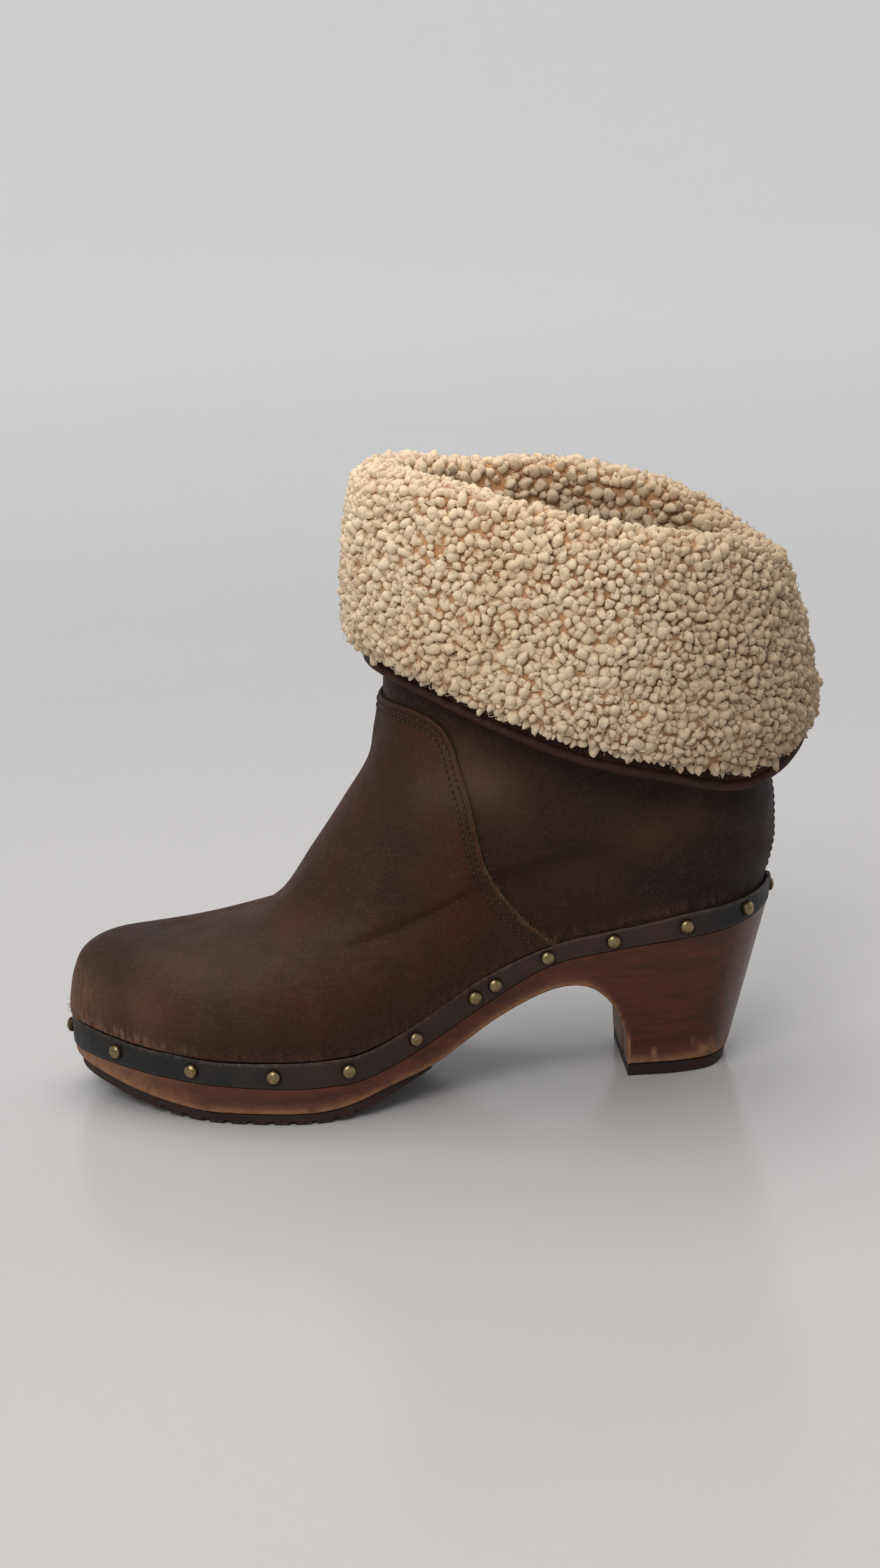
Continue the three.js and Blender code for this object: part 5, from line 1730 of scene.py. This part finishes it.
# %% Wisps of wool
def wisps(grid, count, seed):
    """Paths of wisps: each leaves the skin along its normal and hooks over sideways, like a question mark."""
    rng = np.random.default_rng(seed)
    spots, normals, _, _ = scattered_spots(grid, 0.0, count, seed)
    side = np.cross(normals, rng.normal(0, 1, normals.shape))
    side = unit(side)
    turn = np.linspace(0, 3.6, 7)[None, :, None]
    size = rng.uniform(0.5, 1.1, (len(spots), 1, 1))
    rise = 1.1 + rng.uniform(0.0, 0.7, (len(spots), 1, 1))
    out = rise + size * np.sin(turn) + 0.25 * turn
    across = size * (1 - np.cos(turn))
    paths = spots[:, None] + out * normals[:, None] + across * side[:, None]
    radii = np.broadcast_to(0.16 - 0.02 * turn[..., 0], paths.shape[:2])
    return tubes(paths, radii, 3)


for name, band, count, seed in [
    ("wool_wisps_hem", bead_skin[:22], 1500, 59),
    ("wool_wisps_outside", bead_skin[20:66], 2600, 61),
    ("wool_wisps_inside", bead_skin[65:], 900, 67),
]:
    wisp_points, wisp_faces = wisps(band, count, seed)
    wisp_values = {"tip": np.ones(wisp_points.shape[:-1]), "wool_shade": wool_shade(wisp_points)}
    dress(make_piece(name, wisp_points, wisp_faces, wisp_values, sharp=180), WOOL_FINISH)

# %% [markdown]
# ## The insole
# The insole lies deep in the boot and shows only from above. It is the CAD piece itself with a finish of its
# own.


# %% Insole
def make_insole_finish():
    """Tan lining leather with softly darker clouds."""
    lining = Finish("insole_leather", {"Specular IOR Level": 0.35})
    cloud = lining.noise(40, 5, 0.6)
    colour = lining.blend(lining.fit(cloud, 0.35, 0.65), paint(176, 142, 104), paint(140, 106, 74))
    relief = lining.relief(lining.noise(1200, 3), 0.0002, 0.5)
    return lining.set(Base_Color=colour, Normal=relief, Roughness=lining.fit(cloud, 0.3, 0.7, 0.5, 0.7))


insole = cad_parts["insole"]
insole.data.materials.clear()
insole.data.materials.append(make_insole_finish())

# %% [markdown]
# ## Floor, light and camera
# The photograph was taken in a white studio on a smooth floor that mirrors the boot faintly. A wide floor
# that curves up all round makes an even background from every side. One soft light stands high on the
# camera's side, towards the toe. A larger one hangs over the boot, and a weak one behind gives the heel its
# bright line.


# %% The studio floor
FLOOR_SIDES = 96


def studio_floor():
    """A flat disc that curves up into a round wall, as a profile turned round the Z axis."""
    turn = np.linspace(0, np.pi / 2, 14)
    radius = np.concatenate([np.linspace(0, 2, 9), 2.2 + 0.9 * np.sin(turn), [3.1]]) * 1000
    height = np.concatenate([np.zeros(9), 0.9 * (1 - np.cos(turn)), [2.4]]) * 1000
    angle = np.linspace(0, 2 * np.pi, FLOOR_SIDES, endpoint=False)
    radius, height, angle = np.broadcast_arrays(radius[:, None], height[:, None], angle)
    rings = np.stack([radius * np.cos(angle), radius * np.sin(angle), height], -1)
    far = step_up(radius, 600, 3000)
    faces = grid_faces(*far.shape, close_columns=True)[:, ::-1]
    floor = make_piece("studio_floor", rings, faces, {"far": far}, sharp=180)
    finish = Finish("studio_grey", {"Specular IOR Level": 0.5})
    cloud = finish.noise(2.5, 2)
    colour = finish.blend(finish.value("far"), paint(176, 173, 171), paint(252, 252, 253))
    floor.data.materials.append(finish.set(Base_Color=colour, Roughness=finish.fit(cloud, 0, 1, 0.16, 0.22)))
    return floor


studio_floor()


# %% Lights
def soft_light(name, place, aim, size, power):
    """A square area light at a place, turned towards a point."""
    lamp = bpy.data.lights.new(name, "AREA")
    lamp.shape = "SQUARE"
    lamp.size = size
    lamp.energy = power
    holder = bpy.data.objects.new(name, lamp)
    holder.location = place
    holder.rotation_euler = (Vector(aim) - Vector(place)).to_track_quat("-Z", "Y").to_euler()
    bpy.context.scene.collection.objects.link(holder)


soft_light("key_light", (1.4, -0.8, 1.65), (0, -0.1, 0.1), 1.1, 28)
soft_light("top_light", (-0.3, -0.2, 2.0), (0, -0.1, 0.0), 1.6, 33)
soft_light("back_light", (-0.7, 1.5, 1.1), (0, 0, 0.1), 1.0, 5)
world = bpy.data.worlds.new("studio_air")
world.use_nodes = True
world.node_tree.nodes["Background"].inputs["Color"].default_value = (0.9, 0.92, 0.95, 1)
world.node_tree.nodes["Background"].inputs["Strength"].default_value = 0.25
bpy.context.scene.world = world
bpy.context.scene.view_settings.view_transform = "Standard"

# %% [markdown]
# The camera stands where the photographer's stood, which was worked out from the photograph with the boot's
# own corners. It is turned a little further towards this one boot and has a longer lens, so that the boot
# fills the frame.

# %% Camera
LENS = 54.6
CAMERA_PLACE = Vector((0.8682, -0.1325, 0.3453))
CAMERA_RIGHT = Vector((0.05876, 0.99752, -0.03869))
CAMERA_UP = Vector((-0.25513, 0.05248, 0.96548))
CAMERA_BACK = Vector((0.96512, -0.04686, 0.25758))
camera_data = bpy.data.cameras.new("camera")
camera_data.sensor_width = 36.0
camera_data.lens = LENS
camera_data.clip_start = 0.01
camera = bpy.data.objects.new("camera", camera_data)
view = Matrix((CAMERA_RIGHT, CAMERA_UP, CAMERA_BACK)).transposed().to_4x4()
view.translation = CAMERA_PLACE
camera.matrix_world = view
bpy.context.scene.collection.objects.link(camera)
bpy.context.scene.camera = camera
print("camera: lens %.1f mm, %.2f m from the boot" % (LENS, (CAMERA_PLACE - Vector((0, -0.1, 0.1))).length))
